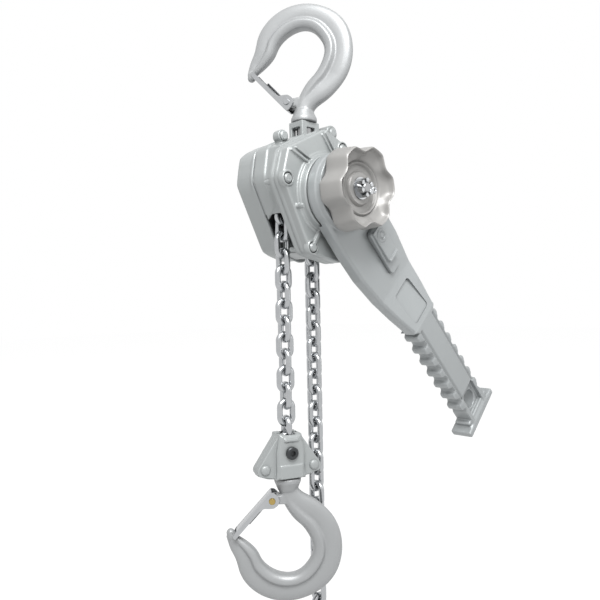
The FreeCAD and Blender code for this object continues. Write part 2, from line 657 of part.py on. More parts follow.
def load_sheave():
    """The pocketed sheave with its two journals and its splined tail."""
    blank = turned("sheave_blank", [
        ("shaft_dia / 2 + bore_gap", "0 - load_gear_front - load_gear_thick - 1.8"),
        ("10.5", "0 - load_gear_front - load_gear_thick - 1.8"), ("10.5", "-load_gear_front"),
        ("journal_dia / 2", "-load_gear_front"), ("journal_dia / 2", "-sheave_half"),
        ("sheave_rim", "-sheave_half"), ("sheave_rim", "0 - chain_wire * 0.6 - 5"),
        ("sheave_rim - 6", "0 - chain_wire * 0.6"), ("sheave_rim - 6", "chain_wire * 0.6"),
        ("sheave_rim", "chain_wire * 0.6 + 5"),
        ("sheave_rim", "sheave_half"), ("journal_dia / 2", "sheave_half"),
        ("journal_dia / 2", "frame_wall + frame_wall_thick"),
        ("shaft_dia / 2 + bore_gap", "frame_wall + frame_wall_thick")])
    groove = ring("standing_link_groove", "(%s) - chain_width / 2 - 1" % STANDING_RADIUS,
                  "sheave_rim + 2",
                  "0 - chain_wire / 2 - 0.7", "chain_wire + 1.4")
    tools = [groove]
    for number in range(int(size("sheave_pockets"))):
        angle = flat_link_angle(number)
        half = evaluate("chain_pitch / 2 + chain_wire + 1.4")
        wide = evaluate("chain_width + 1.0")
        floor = evaluate("(%s) - chain_wire / 2 - 0.7" % FLAT_RADIUS)
        box = solid("Box", "pocket_%d" % number, Length="20", Width=2 * half, Height=wide)
        box.Placement = turned_by(angle).multiply(Placement(Vector(floor, -half, -wide / 2), Rotation()))
        tools.append(box)
    return node("load_sheave", cut("sheave_cut", blank, tools), shaft_frame())


def flat_link_angle(number):
    """Direction from the shaft of a link that lies flat in a pocket, in degrees."""
    step = 180 / size("sheave_pockets")
    return 180 - step / 2 + size("sheave_phase") + 2 * step * number


def gear(label, teeth, start, thick, bore):
    """A spur gear with straight-flanked teeth and working backlash, with a gap on the x axis."""
    pitch_radius = "(%s * gear_module / 2)" % teeth
    tip = pitch_radius + " + gear_module * 0.85"
    root = pitch_radius + " - gear_module * 1.15"
    body = ring(label, bore, tip, start, thick)
    sketch = sketch_on(body, "XY_Plane", label + "_gap_outline", start)
    half_low = "gear_module * 0.55"
    half_high = "gear_module * 1.35"
    polygon(sketch, [(root, "0 - " + half_low), (tip + " + 0.5", "0 - " + half_high),
                     (tip + " + 0.5", half_high), (root, half_low)])
    gap = pocket(body, sketch, thick, label + "_gap")
    repeat_round(body, gap, teeth, label + "_gaps")
    return body


def load_gear():
    """The large gear splined to the tail of the sheave."""
    wheel = gear("load_gear_wheel", "wheel_teeth", "0 - load_gear_front - load_gear_thick",
                 "load_gear_thick", "10.5")
    return node("load_gear", wheel, shaft_frame(size("casing_tilt")))


def gear_clip():
    """The retaining ring behind the load gear."""
    clip = ring("gear_clip_ring", "10.5", "13.5", "0 - load_gear_front - load_gear_thick - 1.6", "1.6")
    return node("gear_clip", clip, shaft_frame())


def disc_gears():
    """Two double gears between the pinion and the load gear, one above the shaft and one below."""
    made = []
    half_gap_wheel = 180 / size("wheel_teeth")
    half_gap_pinion = 180 / size("pinion_teeth")
    for side, sign in (("upper", 1), ("lower", -1)):
        big = gear(side + "_wheel", "wheel_teeth", "0 - disc_gear_front - disc_gear_thick",
                   "disc_gear_thick",
                   "disc_shaft_dia / 2 + bore_gap")
        small = gear(side + "_pinion", "pinion_teeth", "0 - load_gear_front - load_gear_thick - 1",
                     "load_gear_thick + 1.3", "disc_shaft_dia / 2 + bore_gap")
        hub = ring(side + "_hub", "disc_shaft_dia / 2 + bore_gap", "disc_shaft_dia / 2 + 2.2",
                   "0 - disc_gear_front", "disc_gear_front - load_gear_front - load_gear_thick - 0.5")
        big.Placement = turned_by(half_gap_wheel)
        small.Placement = turned_by(half_gap_pinion)
        whole = union(side + "_double_gear", [big, small, hub])
        place = shaft_frame(size("casing_tilt")).multiply(turned_by(0, y=sign * evaluate(GEAR_CENTRES)))
        made.append(node("disc_gear_" + side, whole, place))
    return made


def gear_shafts():
    """The two short shafts that carry the double gears."""
    shafts = []
    for side, sign in (("upper", "0 + "), ("lower", "0 - ")):
        shafts.append(rod(side + "_gear_shaft", "disc_shaft_dia / 2",
                          "0 - disc_gear_front - disc_gear_thick - 3",
                          "disc_gear_front + disc_gear_thick + 3 - frame_back", "0", sign + GEAR_CENTRES))
    return node("gear_shafts", union("gear_shaft_set", shafts), shaft_frame(size("casing_tilt")))


def pinion_shaft():
    """The drive shaft: pinion at the back, thread and castle nut at the front."""
    bar = turned("shaft_bar", [
        ("0", "0 - gear_back + cover_wall"), ("shaft_dia / 2", "0 - gear_back + cover_wall"),
        ("shaft_dia / 2", "disc_hub_back"), ("shaft_dia / 2", "wheel_front - 4"),
        ("shaft_dia / 2 - 1.2", "wheel_front - 2.5"), ("0", "wheel_front - 2.5")])
    pinion = gear("shaft_pinion", "pinion_teeth", "0 - disc_gear_front - disc_gear_thick - 0.6",
                  "disc_gear_thick + 0.5", "shaft_dia / 2 - 1")
    hole = solid("Cylinder", "cotter_way", Radius="1.7", Height="30")
    hole.Placement = Placement(Vector(0, -15, evaluate(COTTER_HEIGHT)), Rotation(Vector(1, 0, 0), -90))
    return node("pinion_shaft", cut("shaft_drilled", union("shaft_with_pinion", [bar, pinion]), [hole]),
                shaft_frame(size("casing_tilt")))


# Brake

def brake_stack():
    """Disc hub, rear friction disc, ratchet disc, front friction disc and change gear, from back to front."""
    hub_front = "disc_hub_back + disc_hub_thick"
    rear = hub_front + " + running_gap"
    ratchet_back = rear + " + friction_thick + running_gap"
    front = ratchet_back + " + ratchet_thick + running_gap"
    change_back = front + " + friction_thick + running_gap"
    sleeve = "shaft_dia / 2 + 4"
    bore = "shaft_dia / 2 + bore_gap"
    hub = turned("disc_hub_turned", [
        (bore, "disc_hub_back"), ("disc_hub_radius", "disc_hub_back"), ("disc_hub_radius", hub_front),
        (sleeve, hub_front), (sleeve, change_back), (bore, change_back)])
    node("disc_hub", hub, shaft_frame())
    node("friction_disc_rear", ring("friction_rear_ring", sleeve + " + running_gap", "friction_radius",
                                    rear,
                                    "friction_thick"), shaft_frame())
    ratchet = ring("ratchet_blank", sleeve + " + bore_gap", "ratchet_radius", ratchet_back,
                   "ratchet_thick")
    sketch = sketch_on(ratchet, "XY_Plane", "ratchet_gap_outline", ratchet_back)
    polygon(sketch, [("ratchet_radius - ratchet_depth", "0"), ("ratchet_radius + 2", "0"),
                     ("ratchet_radius + 2", "ratchet_radius * 0.46"),
                     ("ratchet_radius * 0.915", "ratchet_radius * 0.41")])
    gap = pocket(ratchet, sketch, "ratchet_thick", "ratchet_gap")
    repeat_round(ratchet, gap, "ratchet_teeth", "ratchet_gaps")
    node("ratchet_disc", ratchet, shaft_frame(size("casing_tilt")))
    node("friction_disc_front", ring("friction_front_ring", sleeve + " + running_gap", "friction_radius",
                                     front,
                                     "friction_thick"), shaft_frame())
    flange_front = change_back + " + change_flange_thick"
    teeth_back = "lever_head_back + 1.5"
    change = turned("change_gear_turned", [
        (bore, change_back), ("disc_hub_radius", change_back), ("disc_hub_radius", flange_front),
        ("change_neck_radius", flange_front), ("change_neck_radius", teeth_back),
        ("change_radius", teeth_back), ("change_radius", "lever_front"),
        ("change_neck_radius", "lever_front"),
        ("change_neck_radius", "wheel_back - running_gap"), (bore, "wheel_back - running_gap")])
    notch = sketch_on(change, "XY_Plane", "change_notch_outline", teeth_back)
    circle(notch, "change_radius + 1", "0", "3.2")
    cut_notch = pocket(change, notch, "lever_front - lever_head_back", "change_notch")
    repeat_round(change, cut_notch, "change_teeth", "change_notches")
    node("change_gear", change, shaft_frame())


def bent_wire(wire, start_leg, radius, turn_degrees, pitch, end_leg, heading):
    """A torsion spring as one tube: a leg, a coil about z and a second leg, and its least gap to itself."""
    begin = math.radians(heading)
    span = math.radians(turn_degrees)
    steps = max(2, math.ceil(turn_degrees / 90))
    climb = pitch / (2 * math.pi)

    def spot(turn):
        side = begin + turn - math.pi / 2
        return Vector(radius * math.cos(side), radius * math.sin(side), climb * turn)

    def way(turn):
        return Vector(math.cos(begin + turn), math.sin(begin + turn), climb / radius).normalize()

    flat_start = Vector(math.cos(begin), math.sin(begin), 0)
    flat_end = Vector(math.cos(begin + span), math.sin(begin + span), 0)
    stops = [(spot(span * k / steps), way(span * k / steps)) for k in range(steps + 1)]
    stops[0] = (stops[0][0], flat_start)
    stops[-1] = (stops[-1][0], flat_end)
    edges = [Part.LineSegment(stops[0][0] - flat_start * start_leg, stops[0][0]).toShape()]
    for (low, low_way), (high, high_way) in zip(stops, stops[1:]):
        edges += biarc(low, low_way, high, high_way)
    edges.append(Part.LineSegment(stops[-1][0], stops[-1][0] + flat_end * end_leg).toShape())
    path = Part.Wire(edges)
    mouth = Part.Wire(Part.Circle(stops[0][0] - flat_start * start_leg, flat_start, wire / 2).toShape())
    tube = path.makePipeShell([mouth], True, False)
    print("spring least gap %.2f mm" % least_gap(path, wire))
    return tube


def biarc(low, low_way, high, high_way):
    """Two arcs that join two points with their directions."""
    run = high - low
    ways = low_way + high_way
    slope = run.dot(ways)
    bend = 2 * (1 - low_way.dot(high_way))
    reach = (-slope + math.sqrt(slope * slope + run.dot(run) * bend)) / bend
    join = (low + low_way * reach + high - high_way * reach) * 0.5
    return [arc_from(low, low_way, join), arc_from(high, high_way * -1, join)]


def arc_from(start, direction, end):
    """The arc that leaves a point in a direction and reaches another."""
    chord = end - start
    along = chord * (1 / chord.Length)
    across = direction - along * direction.dot(along)
    half = math.acos(max(-1, min(1, direction.dot(along)))) / 2
    middle = (start + end) * 0.5 + across.normalize() * (chord.Length / 2 * math.tan(half))
    return Part.Arc(start, middle, end).toShape()


def least_gap(path, wire):
    """The least room between stretches of a wire that aren't neighbours."""
    points = path.discretize(Distance=wire / 2)
    apart = int(math.pi * 2)
    gaps = [(a - b).Length for k, a in enumerate(points) for b in points[k + apart:]]
    return min(gaps) - wire


# Pawls of the brake

PAWL_X, PAWL_Y = "-pawl_reach", "-8.4"


def pawls():
    """Two pawls with their pins and springs, half a turn apart."""
    start = "disc_hub_back + disc_hub_thick + friction_thick + 3 * running_gap + 0.4"
    pins = []
    springs = []
    for side, turn in (("left", 0), ("right", 180)):
        eye = rod(side + "_pawl_eye", "pawl_pin_dia / 2 + 3", start, "pawl_thick", PAWL_X, PAWL_Y)
        beak = slab(side + "_pawl_beak", [
            (PAWL_X + " - 3", PAWL_Y + " + 5"), (PAWL_X + " + 4", PAWL_Y + " - 2"),
            ("-ratchet_radius - 1.6", "1.5"), ("3 - ratchet_radius", "10.4"),
            ("2.8 - ratchet_radius", "13.2"),
            ("-ratchet_radius - 3", "16")],
            start, "pawl_thick")
        hole = rod(side + "_pawl_bore", "pawl_pin_dia / 2 + bore_gap", start, "pawl_thick", PAWL_X,
                   PAWL_Y)
        node("pawl_" + side, cut(side + "_pawl_cut", union(side + "_pawl_blank", [eye, beak]), [hole]),
             shaft_frame(size("casing_tilt") + turn))
        sign = "" if turn == 0 else "0 - "
        pins.append(rod(side + "_pawl_pin", "pawl_pin_dia / 2", "flange_back + 3",
                        "brake_front - cover_wall - flange_back - 3", "%s(%s)" % (sign, PAWL_X),
                        "%s(%s)" % (sign, PAWL_Y)))
        spring = bent_wire(1.2, 9, evaluate("pawl_pin_dia / 2 + 1.6"), 450, 1.9, 9, 60)
        spring.translate(Vector(evaluate(PAWL_X), evaluate(PAWL_Y),
                                evaluate(start + " + pawl_thick + 1.4")))
        springs.append(spring.rotate(Vector(), Vector(0, 0, 1), turn))
    node("pawl_pins", union("pawl_pin_set", pins), shaft_frame(size("casing_tilt")))
    node("pawl_springs", shaped("pawl_spring_set", Part.makeCompound(springs)),
         shaft_frame(size("casing_tilt")))


def stripper():
    """The tongue that lifts the chain out of the sheave's groove."""
    foot = block("stripper_foot", ("-8", "-sheave_rim - 4.6", "-frame_back"),
                 ("16", "3.6", "frame_back + frame_wall"))
    tongue = slab("stripper_tongue", [("-5", "-sheave_rim - 4.6"), ("5", "-sheave_rim - 4.6"),
                                      ("3.5", "10 - sheave_rim"), ("-3.5", "10 - sheave_rim")],
                  "0 - chain_wire / 2 - 0.2", "chain_wire + 0.4")
    return node("chain_stripper", union("stripper_whole", [foot, tongue]), shaft_frame())


# Lever

LEVER_COVER_BACK = "lever_head_back - lever_rear_cover"
LEVER_SCREWS = [("-33", "-62"), ("33", "-62"), ("0", "-selector_y - 13")]
HOLLOW_START = "30"
END_START = "0 - grip_start - grip_ribs * grip_pitch - grip_tail"
ARM_STATIONS = [("4", "lever_head_radius - 0.4", "0"), ("60", "lever_head_radius + 2", "0"),
                ("arm_hip_along", "arm_hip_half", "0"), ("arm_waist_along", "arm_waist_half", "0"),
                ("arm_neck_along", "arm_neck_half", "0.49 * lever_crank"),
                ("grip_start", "grip_half + 8", "lever_crank")]


def arm_section(along, half, low, high, bevel):
    """A rectangle across the lever's arm with its corners cut."""
    corners = [(half, low + bevel), (half, high - bevel), (half - bevel, high), (bevel - half, high),
               (-half, high - bevel), (-half, low + bevel), (bevel - half, low), (half - bevel, low)]
    points = [Vector(x, -along, z) for x, z in corners]
    return Part.makePolygon(points + points[:1])


def arm_at(along):
    """Half width of the arm and its lift towards the handwheel, at a distance from the shaft."""
    stations = [[evaluate(formula) for formula in row] for row in ARM_STATIONS]
    for (near, near_half, near_lift), (far, far_half, far_lift) in zip(stations, stations[1:]):
        if along <= far:
            part = (along - near) / (far - near)
            return near_half + part * (far_half - near_half), near_lift + part * (far_lift - near_lift)
    return stations[-1][1:]


def arm_loft(label, wall, bevel, first, last):
    """The arm between two distances from the shaft, drawn in by a wall and open to the back."""
    low, high = size("lever_back"), size("lever_front")
    between = [evaluate(row[0]) for row in ARM_STATIONS if first < evaluate(row[0]) < last]
    sections = []
    for along in [first] + between + [last]:
        half, lift = arm_at(along)
        bottom = low + lift - (wall * 0.6 if wall else 0)
        sections.append(arm_section(along, half - wall, bottom, high + lift - wall, bevel))
    return shaped(label, Part.makeLoft(sections, True, True))


def grip_outline():
    """The grip seen along the shaft: finger ribs down both sides."""
    start = size("grip_start")
    pitch, long = size("grip_pitch"), size("rib_long")
    half, tip = size("grip_half"), size("rib_half")
    side = [(half + 8, -start + 2)]
    for number in range(int(size("grip_ribs"))):
        top = -start - number * pitch - (pitch - long) / 2
        side += [(half, top), (tip - 1.5, top - 2), (tip, top - 4)]
        side += [(tip, top - long + 4), (tip - 1.5, top - long + 2), (half, top - long)]
    ribs_end = -start - size("grip_ribs") * pitch
    side += [(size("tail_half"), ribs_end - 3), (size("tail_half"), evaluate(END_START) - 1)]
    points = [Vector(x, y, 0) for x, y in side] + [Vector(-x, y, 0) for x, y in reversed(side)]
    return Part.makePolygon(points + points[:1])


def lever_panel():
    """The shallow panel in the front of the arm, lying in the plane of the cranked part."""
    panel = solid("Box", "lever_panel", Length="2 * panel_half", Width="panel_long", Height="10")
    run = size("grip_start") - size("arm_waist_along")
    far = size("panel_start") + size("panel_long")
    lift = size("lever_crank") * (far - size("arm_waist_along")) / run
    slope = math.degrees(math.atan2(size("lever_crank"), run))
    corner = Vector(-size("panel_half"), -far, size("lever_front") - 3 + lift)
    panel.Placement = Placement(corner, Rotation(Vector(1, 0, 0), -slope))
    return panel


def lever_body():
    """The lever: round head, cranked hollow arm, ribbed grip and end block with its eye."""
    head = rod("lever_head", "lever_head_radius", "lever_head_back", "lever_front - lever_head_back")
    disc = rod("lever_disc", "lever_head_radius - 1", "lever_front - 1",
               "lever_disc_front - lever_front + 1")
    arm = arm_loft("lever_arm", 0, 3, evaluate(ARM_STATIONS[0][0]), size("grip_start"))
    grip_low = "lever_front + lever_crank - grip_deep"
    grip = shaped("lever_grip", Part.Face(grip_outline()).extrude(Vector(0, 0, size("grip_deep"))))
    grip.Placement = Placement(Vector(0, 0, evaluate(grip_low)), Rotation())
    end = block("lever_end", ("-end_block_half", END_START + " - end_block_long",
                              "lever_front + lever_crank + 1 - end_block_deep"),
                ("2 * end_block_half", "end_block_long", "end_block_deep"))
    whole = union("lever_solid", [head, disc, arm, grip, end])
    tools = [
        rod("dome_clearance", "dome_radius + 2.5", "lever_back - 1", "lever_head_back - lever_back + 1"),
        rod("lever_cavity_round", "lever_cavity", "lever_head_back - 1",
            "lever_disc_front - lever_head_back - lever_wall + 1"),
        rod("lever_neck_way", "change_neck_radius + 0.8", "lever_head_back", "lever_disc_front"),
        block("pawl_way", ("selector_x - 36", "-selector_y - 12", "lever_head_back - 1"),
              ("72", "selector_y - 10", "lever_front - lever_wall + 1 - lever_head_back")),
        arm_loft("arm_hollow", size("lever_wall"), 2, evaluate(HOLLOW_START), size("grip_start") - 12),
        block("grip_hollow", ("-grip_hollow_half", "17 - grip_start - grip_hollow_long",
                              "lever_back - 1"),
              ("2 * grip_hollow_half", "grip_hollow_long", "lever_front + lever_crank - 6 - lever_back")),
        block("eye_recess", ("-eye_recess_half", END_START + " + 2",
                             "lever_front + lever_crank - eye_recess_deep"),
              ("2 * eye_recess_half", "eye_recess_long", "eye_recess_deep + 5")),
        rod("lever_eye", "eye_dia / 2", "lever_back", "60", "0", "%s + eye_dia / 2 + 12" % END_START),
        rod("selector_way", "4 + bore_gap", "lever_back", "60", "selector_x", "-selector_y"),
        lever_panel()]
    return node("lever_body", cut("lever_cut", whole, tools), shaft_frame(size("lever_angle")))


def lever_cover():
    """The plate that closes the back of the lever's head."""
    disc = ring("lever_cover_disc", "neck_bore", "lever_head_radius - 2", LEVER_COVER_BACK,
                "lever_rear_cover")
    tongue = slab("lever_cover_tongue", [("-36", "-34"), ("-40", "-selector_y - 18"),
                                         ("40", "-selector_y - 18"), ("36", "-34")],
                  LEVER_COVER_BACK, "lever_rear_cover")
    return node("lever_cover", union("lever_cover_whole", [disc, tongue]),
                shaft_frame(size("lever_angle")))


def lever_screws():
    """Three screws, from the back, that hold the lever's rear cover."""
    screws = []
    for number, (x, y) in enumerate(LEVER_SCREWS):
        screw = turned("lever_screw_%d" % number, [
            ("0", LEVER_COVER_BACK + " - 2.4"), ("3", LEVER_COVER_BACK + " - 2.4"),
            ("4.5", LEVER_COVER_BACK + " - 1"),
            ("4.5", LEVER_COVER_BACK), ("0", LEVER_COVER_BACK)])
        bind(screw, "Placement.Base.x", x)
        bind(screw, "Placement.Base.y", y)
        screws.append(screw)
    return node("lever_screws", union("lever_screw_set", screws), shaft_frame(size("lever_angle")))


def selector():
    """The change-over lever on the front of the arm, on its own shaft."""
    base = "lever_front + running_gap"
    hub = rod("selector_hub", "selector_radius", base, "selector_thick", "selector_x", "-selector_y")
    half, far = "selector_x %s selector_half", "- selector_y - selector_arm"
    arm = slab("selector_arm", [
        (half % "-", "12 - selector_y"), (half % "-" + " - 1", "10 " + far),
        (half % "-" + " + 3", "3 " + far),
        ("selector_x - 5", "0 " + far), ("selector_x + 5", "0 " + far), (half % "+" + " - 3", "3 " + far),
        (half % "+" + " + 1", "10 " + far), (half % "+", "12 - selector_y"),
        (half % "+" + " - 6", "18 - selector_y"), (half % "-" + " + 6", "18 - selector_y")],
        base, "selector_thick - 1")
    stem = rod("selector_stem", "4", "lever_head_back + 0.6", "lever_front - lever_head_back",
               "selector_x", "-selector_y")
    return node("selector", union("selector_whole", [hub, arm, stem]), shaft_frame(size("lever_angle")))


def selector_pawl():
    """The forked pawl on the selector's shaft, clear of the change gear while it stands in the middle."""
    base = "lever_head_back + 0.6"
    body = slab("selector_pawl_body", [
        ("selector_x - 8", "-selector_y - 9"), ("selector_x + 8", "-selector_y - 9"),
        ("selector_x + 10", "-selector_y"), ("selector_x + 18", "50 - selector_y"),
        ("selector_x + 14", "51.5 - selector_y"),
        ("selector_x + 7", "45 - selector_y"), ("selector_x - 7", "45 - selector_y"),
        ("selector_x - 14", "51.5 - selector_y"), ("selector_x - 18", "50 - selector_y"),
        ("selector_x - 10", "-selector_y")],
        base, "4.6")
    hole = rod("selector_pawl_bore", "4", base, "5", "selector_x", "-selector_y")
    return node("selector_pawl", cut("selector_pawl_cut", body, [hole]), shaft_frame(size("lever_angle")))


# Handwheel

def handwheel():
    """The free-wheeling hand knob: a tapered ring with finger scallops and a stepped hub recess."""
    bore = "shaft_dia / 2 + bore_gap"
    body = turned("handwheel_turned", [
        (bore, "wheel_back"), ("wheel_radius + wheel_taper - 2", "wheel_back"),
        ("wheel_radius + wheel_taper", "wheel_back + 2"), ("wheel_radius + 1", "wheel_front - 6"),
        ("wheel_radius - 1", "wheel_front - 1.5"), ("wheel_radius - 4", "wheel_front"),
        ("wheel_recess_radius + 5", "wheel_front - 1.5"),
        ("wheel_recess_radius + 1.5", "wheel_front - 5"),
        ("wheel_recess_radius", "wheel_front - 9"), ("wheel_recess_radius - 5", "wheel_front - 9.5"),
        ("wheel_recess_radius - 6", "wheel_front - wheel_recess_deep"),
        ("wheel_recess_radius * 0.6", "wheel_front - wheel_recess_deep"),
        ("wheel_recess_radius * 0.56", "wheel_front - wheel_recess_deep + 2"),
        (bore, "wheel_front - wheel_recess_deep + 2")])
    sketch = sketch_on(body, "XY_Plane", "handwheel_scallop_outline", "wheel_back - 1")
    circle(sketch, "wheel_radius - 7 + scallop_radius", "0", "scallop_radius")
    scallop = pocket(body, sketch, "wheel_front - wheel_back + 2", "handwheel_scallop")
    repeat_round(body, scallop, "wheel_lobes", "handwheel_scallops")
    return node("handwheel", body, shaft_frame(size("wheel_turn")))


def castle_nut():
    """The slotted nut on the shaft's end."""
    body = new_body("castle_nut_body")
    start = "wheel_front - wheel_recess_deep + 2 + washer_thick"
    sketch = sketch_on(body, "XY_Plane", "castle_nut_outline", start)
    across = "nut_across / 2"
    corner = "nut_across / 2 * tan(30)"
    tip = "nut_across / (2 * cos(30))"
    polygon(sketch, [(across, "0 - " + corner), (across, corner), ("0", tip), ("0 - " + across, corner),
                     ("0 - " + across, "0 - " + corner), ("0", "0 - " + tip)])
    pad(body, sketch, "nut_height", "castle_nut_pad")
    bore = sketch_on(body, "XY_Plane", "castle_nut_bore_outline", start)
    circle(bore, "0", "0", "shaft_dia / 2")
    pocket(body, bore, "nut_height", "castle_nut_bore")
    slot = sketch_on(body, "XY_Plane", "castle_nut_slot_outline", start + " + nut_height - 5.8")
    polygon(slot, [("shaft_dia / 2 - 1", "-1.9"), ("nut_across", "-1.9"), ("nut_across", "1.9"),
                   ("shaft_dia / 2 - 1", "1.9")])
    cut_slot = pocket(body, slot, "6", "castle_nut_slot")
    repeat_round(body, cut_slot, "6", "castle_nut_slots")
    return node("castle_nut", body, shaft_frame(size("casing_tilt") - 90))


def wheel_washer():
    """The washer under the castle nut."""
    washer = ring("wheel_washer_ring", "shaft_dia / 2 + bore_gap", "nut_across / 2 + 3",
                  "wheel_front - wheel_recess_deep + 2", "washer_thick")
    return node("wheel_washer", washer, shaft_frame())


def cotter_pin():
    """The split pin through the nut and the shaft, with its eye at one side."""
    wire = 1.5
    height = evaluate(COTTER_HEIGHT)
    reach = evaluate("nut_across / 2 + 4")
    leg = Part.makeCylinder(wire, 2 * reach, Vector(0, -reach, 0), Vector(0, 1, 0))
    eye = Part.makeTorus(2.6, wire, Vector(0, -reach - 2.6, 0), Vector(0, 0, 1))
    pin = shaped("cotter_pin_shape", leg.fuse(eye).removeSplitter())
    pin.Placement = Placement(Vector(0, 0, height), Rotation())
    return node("cotter_pin", pin, shaft_frame(size("casing_tilt")))


# Hooks. Both are the same forging, drawn with the seat at the origin and the shank straight down.

# Centre across and up, width in the hook's plane, thickness
HOOK_SECTIONS = [
    (-72.5, -49, 7, 7), (-66, -41.5, 16, 12), (-58, -32, 23, 16.5), (-50, -20, 28.5, 20.5),
    (-43.5, -5, 32, 23),
    (-26, 10.5, 34, 24), (-1, 16.5, 33, 24), (25.5, 8, 34, 24), (44, -15, 36, 24), (46, -39, 36, 24),
    (35, -62.5, 36, 24), (21, -76, 34, 24), (8, -88, 27, 23), (2, -98, 23, 22), (0, -106, 23, 23)]


def hook_section(centre, tangent, width, thick):
    """A closed curve across the hook, fuller towards the bowl than towards the back."""
    inward = Vector(tangent.z, 0, -tangent.x)
    points = []
    for number in range(16):
        angle = 2 * math.pi * number / 16
        across, along = math.sin(angle), math.cos(angle)
        side = math.copysign(abs(across) ** 0.8, across) * thick / 2 * (0.9 + 0.1 * along)
        out = math.copysign(abs(along) ** 0.8, along) * width / 2
        points.append(centre + inward * out + Vector(0, side, 0))
    curve = Part.BSplineCurve()
    curve.interpolate(points, PeriodicFlag=True)
    return Part.Wire(curve.toShape())


def hook_bow():
    """The bent part of the hook, lofted through its sections."""
    centres = [Vector(x, 0, z) for x, z, width, thick in HOOK_SECTIONS]
    wires = []
    for number, (x, z, width, thick) in enumerate(HOOK_SECTIONS):
        before = centres[max(number - 1, 0)]
        after = centres[min(number + 1, len(centres) - 1)]
        tangent = (after - before).normalize()
        if number == len(centres) - 1:
            tangent = Vector(0, 0, -1)
        wires.append(hook_section(centres[number], tangent, width, thick))
    return Part.makeLoft(wires, True, False)


SHANK_TAIL = "yoke_top + hook_nut_height + 2 * running_gap + 1.5"


def hook_shape(label):
    """The forging: bow, flared collar, shank and the slotted lug of the latch."""
    bow = shaped(label + "_bow", hook_bow())
    tail = "0 - collar_drop - (%s)" % SHANK_TAIL
    stem = turned(label + "_stem", [
        ("0", "4 - neck_drop - collar_height"), ("11.4", "4 - neck_drop - collar_height"),
        ("collar_dia / 2 - 1.5", "3 + collar_height - collar_drop"),
        ("collar_dia / 2", "collar_height - collar_drop"), ("collar_dia / 2", "-collar_drop"),
        ("shank_dia / 2", "-collar_drop"), ("shank_dia / 2", tail + " + 1"), ("shank_dia / 2 - 1", tail),
        ("0", tail)])
    pivot = Placement(Vector(-size("latch_pivot_out"), 0, -size("latch_pivot_drop")),
                      Rotation(Vector(1, 0, 0), 90))
    lug_eye = rod(label + "_lug_eye", "hook_lug_wide / 3", "0 - hook_lug_wide / 2", "hook_lug_wide")
    lug_foot = block(label + "_lug_foot", ("0", "0 - hook_lug_wide / 3", "0 - hook_lug_wide / 2"),
                     ("latch_pivot_out - 2", "hook_lug_wide * 0.6", "hook_lug_wide"))
    lug = union(label + "_lug", [lug_eye, lug_foot])
    lug.Placement = pivot
    slot = rod(label + "_spring_slot", "latch_spring_radius + latch_spring_wire / 2 + 1", "-4.9", "9.8")
    bore = rod(label + "_pin_way", "latch_pin_dia / 2", "0 - hook_lug_wide", "2 * hook_lug_wide")
    ways = union(label + "_ways", [slot, bore])
    ways.Placement = pivot
    return cut(label + "_drilled", union(label + "_forging", [bow, stem, lug]), [ways])


def latch_frame():
    """The latch's frame in the hook's: x from its pivot to its tip, y away from the bowl."""
    return Placement(Vector(-size("latch_pivot_out"), 0, -size("latch_pivot_drop")),
                     Rotation(Vector(1, 0, 0), 90).multiply(Rotation(Vector(0, 0, 1), 133)))


def latch_shape(label):
    """A bent sheet channel: two sides that straddle the lug and the point, and a web between them."""
    outside = "(latch_inside / 2 + latch_sheet)"
    profile = [("-5", "-4.4"), ("-1", "-6.8"), ("4", "-6.8"), ("latch_reach * 0.5", "-5"),
               ("latch_reach - 5", "-5"),
               ("latch_reach", "-1.5"), ("latch_reach", "4"), ("latch_web_reach", "7"), ("3", "7"),
               ("-4", "4.5")]
    profile = [(x, "0 - (%s)" % y) for x, y in reversed(profile)]
    body = slab(label + "_channel", profile, "0 - " + outside, "2 * %s" % outside)
    inside = block(label + "_inside", ("-20", "latch_sheet - 7", "0 - latch_inside / 2"),
                   ("latch_reach + 40", "30", "latch_inside"))
    heel = block(label + "_heel", ("-20", "-10", "0 - latch_inside / 2"), ("28", "30", "latch_inside"))
    notch = block(label + "_notch", ("latch_web_reach", "-10", "0 - latch_inside / 2"),
                  ("30", "30", "latch_inside"))
    hole = rod(label + "_hole", "latch_pin_dia / 2 + bore_gap", "-20", "40")
    return cut(label + "_cut", body, [inside, heel, notch, hole])


def latch_pin_shape(label):
    """A riveted pin with a low head on both sides."""
    half = "(latch_inside / 2 + latch_sheet)"
    return turned(label + "_turned", [
        ("0", "0 - %s - 1.6" % half), ("3.4", "0 - %s - 1.6" % half), ("4", "0 - %s - 0.6" % half),
        ("4", "0 - %s - 0.15" % half), ("latch_pin_dia / 2", "0 - %s - 0.15" % half),
        ("latch_pin_dia / 2", half + " + 0.15"), ("4", half + " + 0.15"), ("4", half + " + 0.6"),
        ("3.4", half + " + 1.6"), ("0", half + " + 1.6")])


def latch_spring_shape():
    """The torsion spring on the latch's pin, with one leg along the neck."""
    turns = 360 * size("latch_spring_turns")
    pitch = size("latch_spring_pitch")
    spring = bent_wire(size("latch_spring_wire"), 5, size("latch_spring_radius"), turns, pitch, 4, -100)
    spring.translate(Vector(0, 0, -pitch * size("latch_spring_turns") / 2))
    return spring


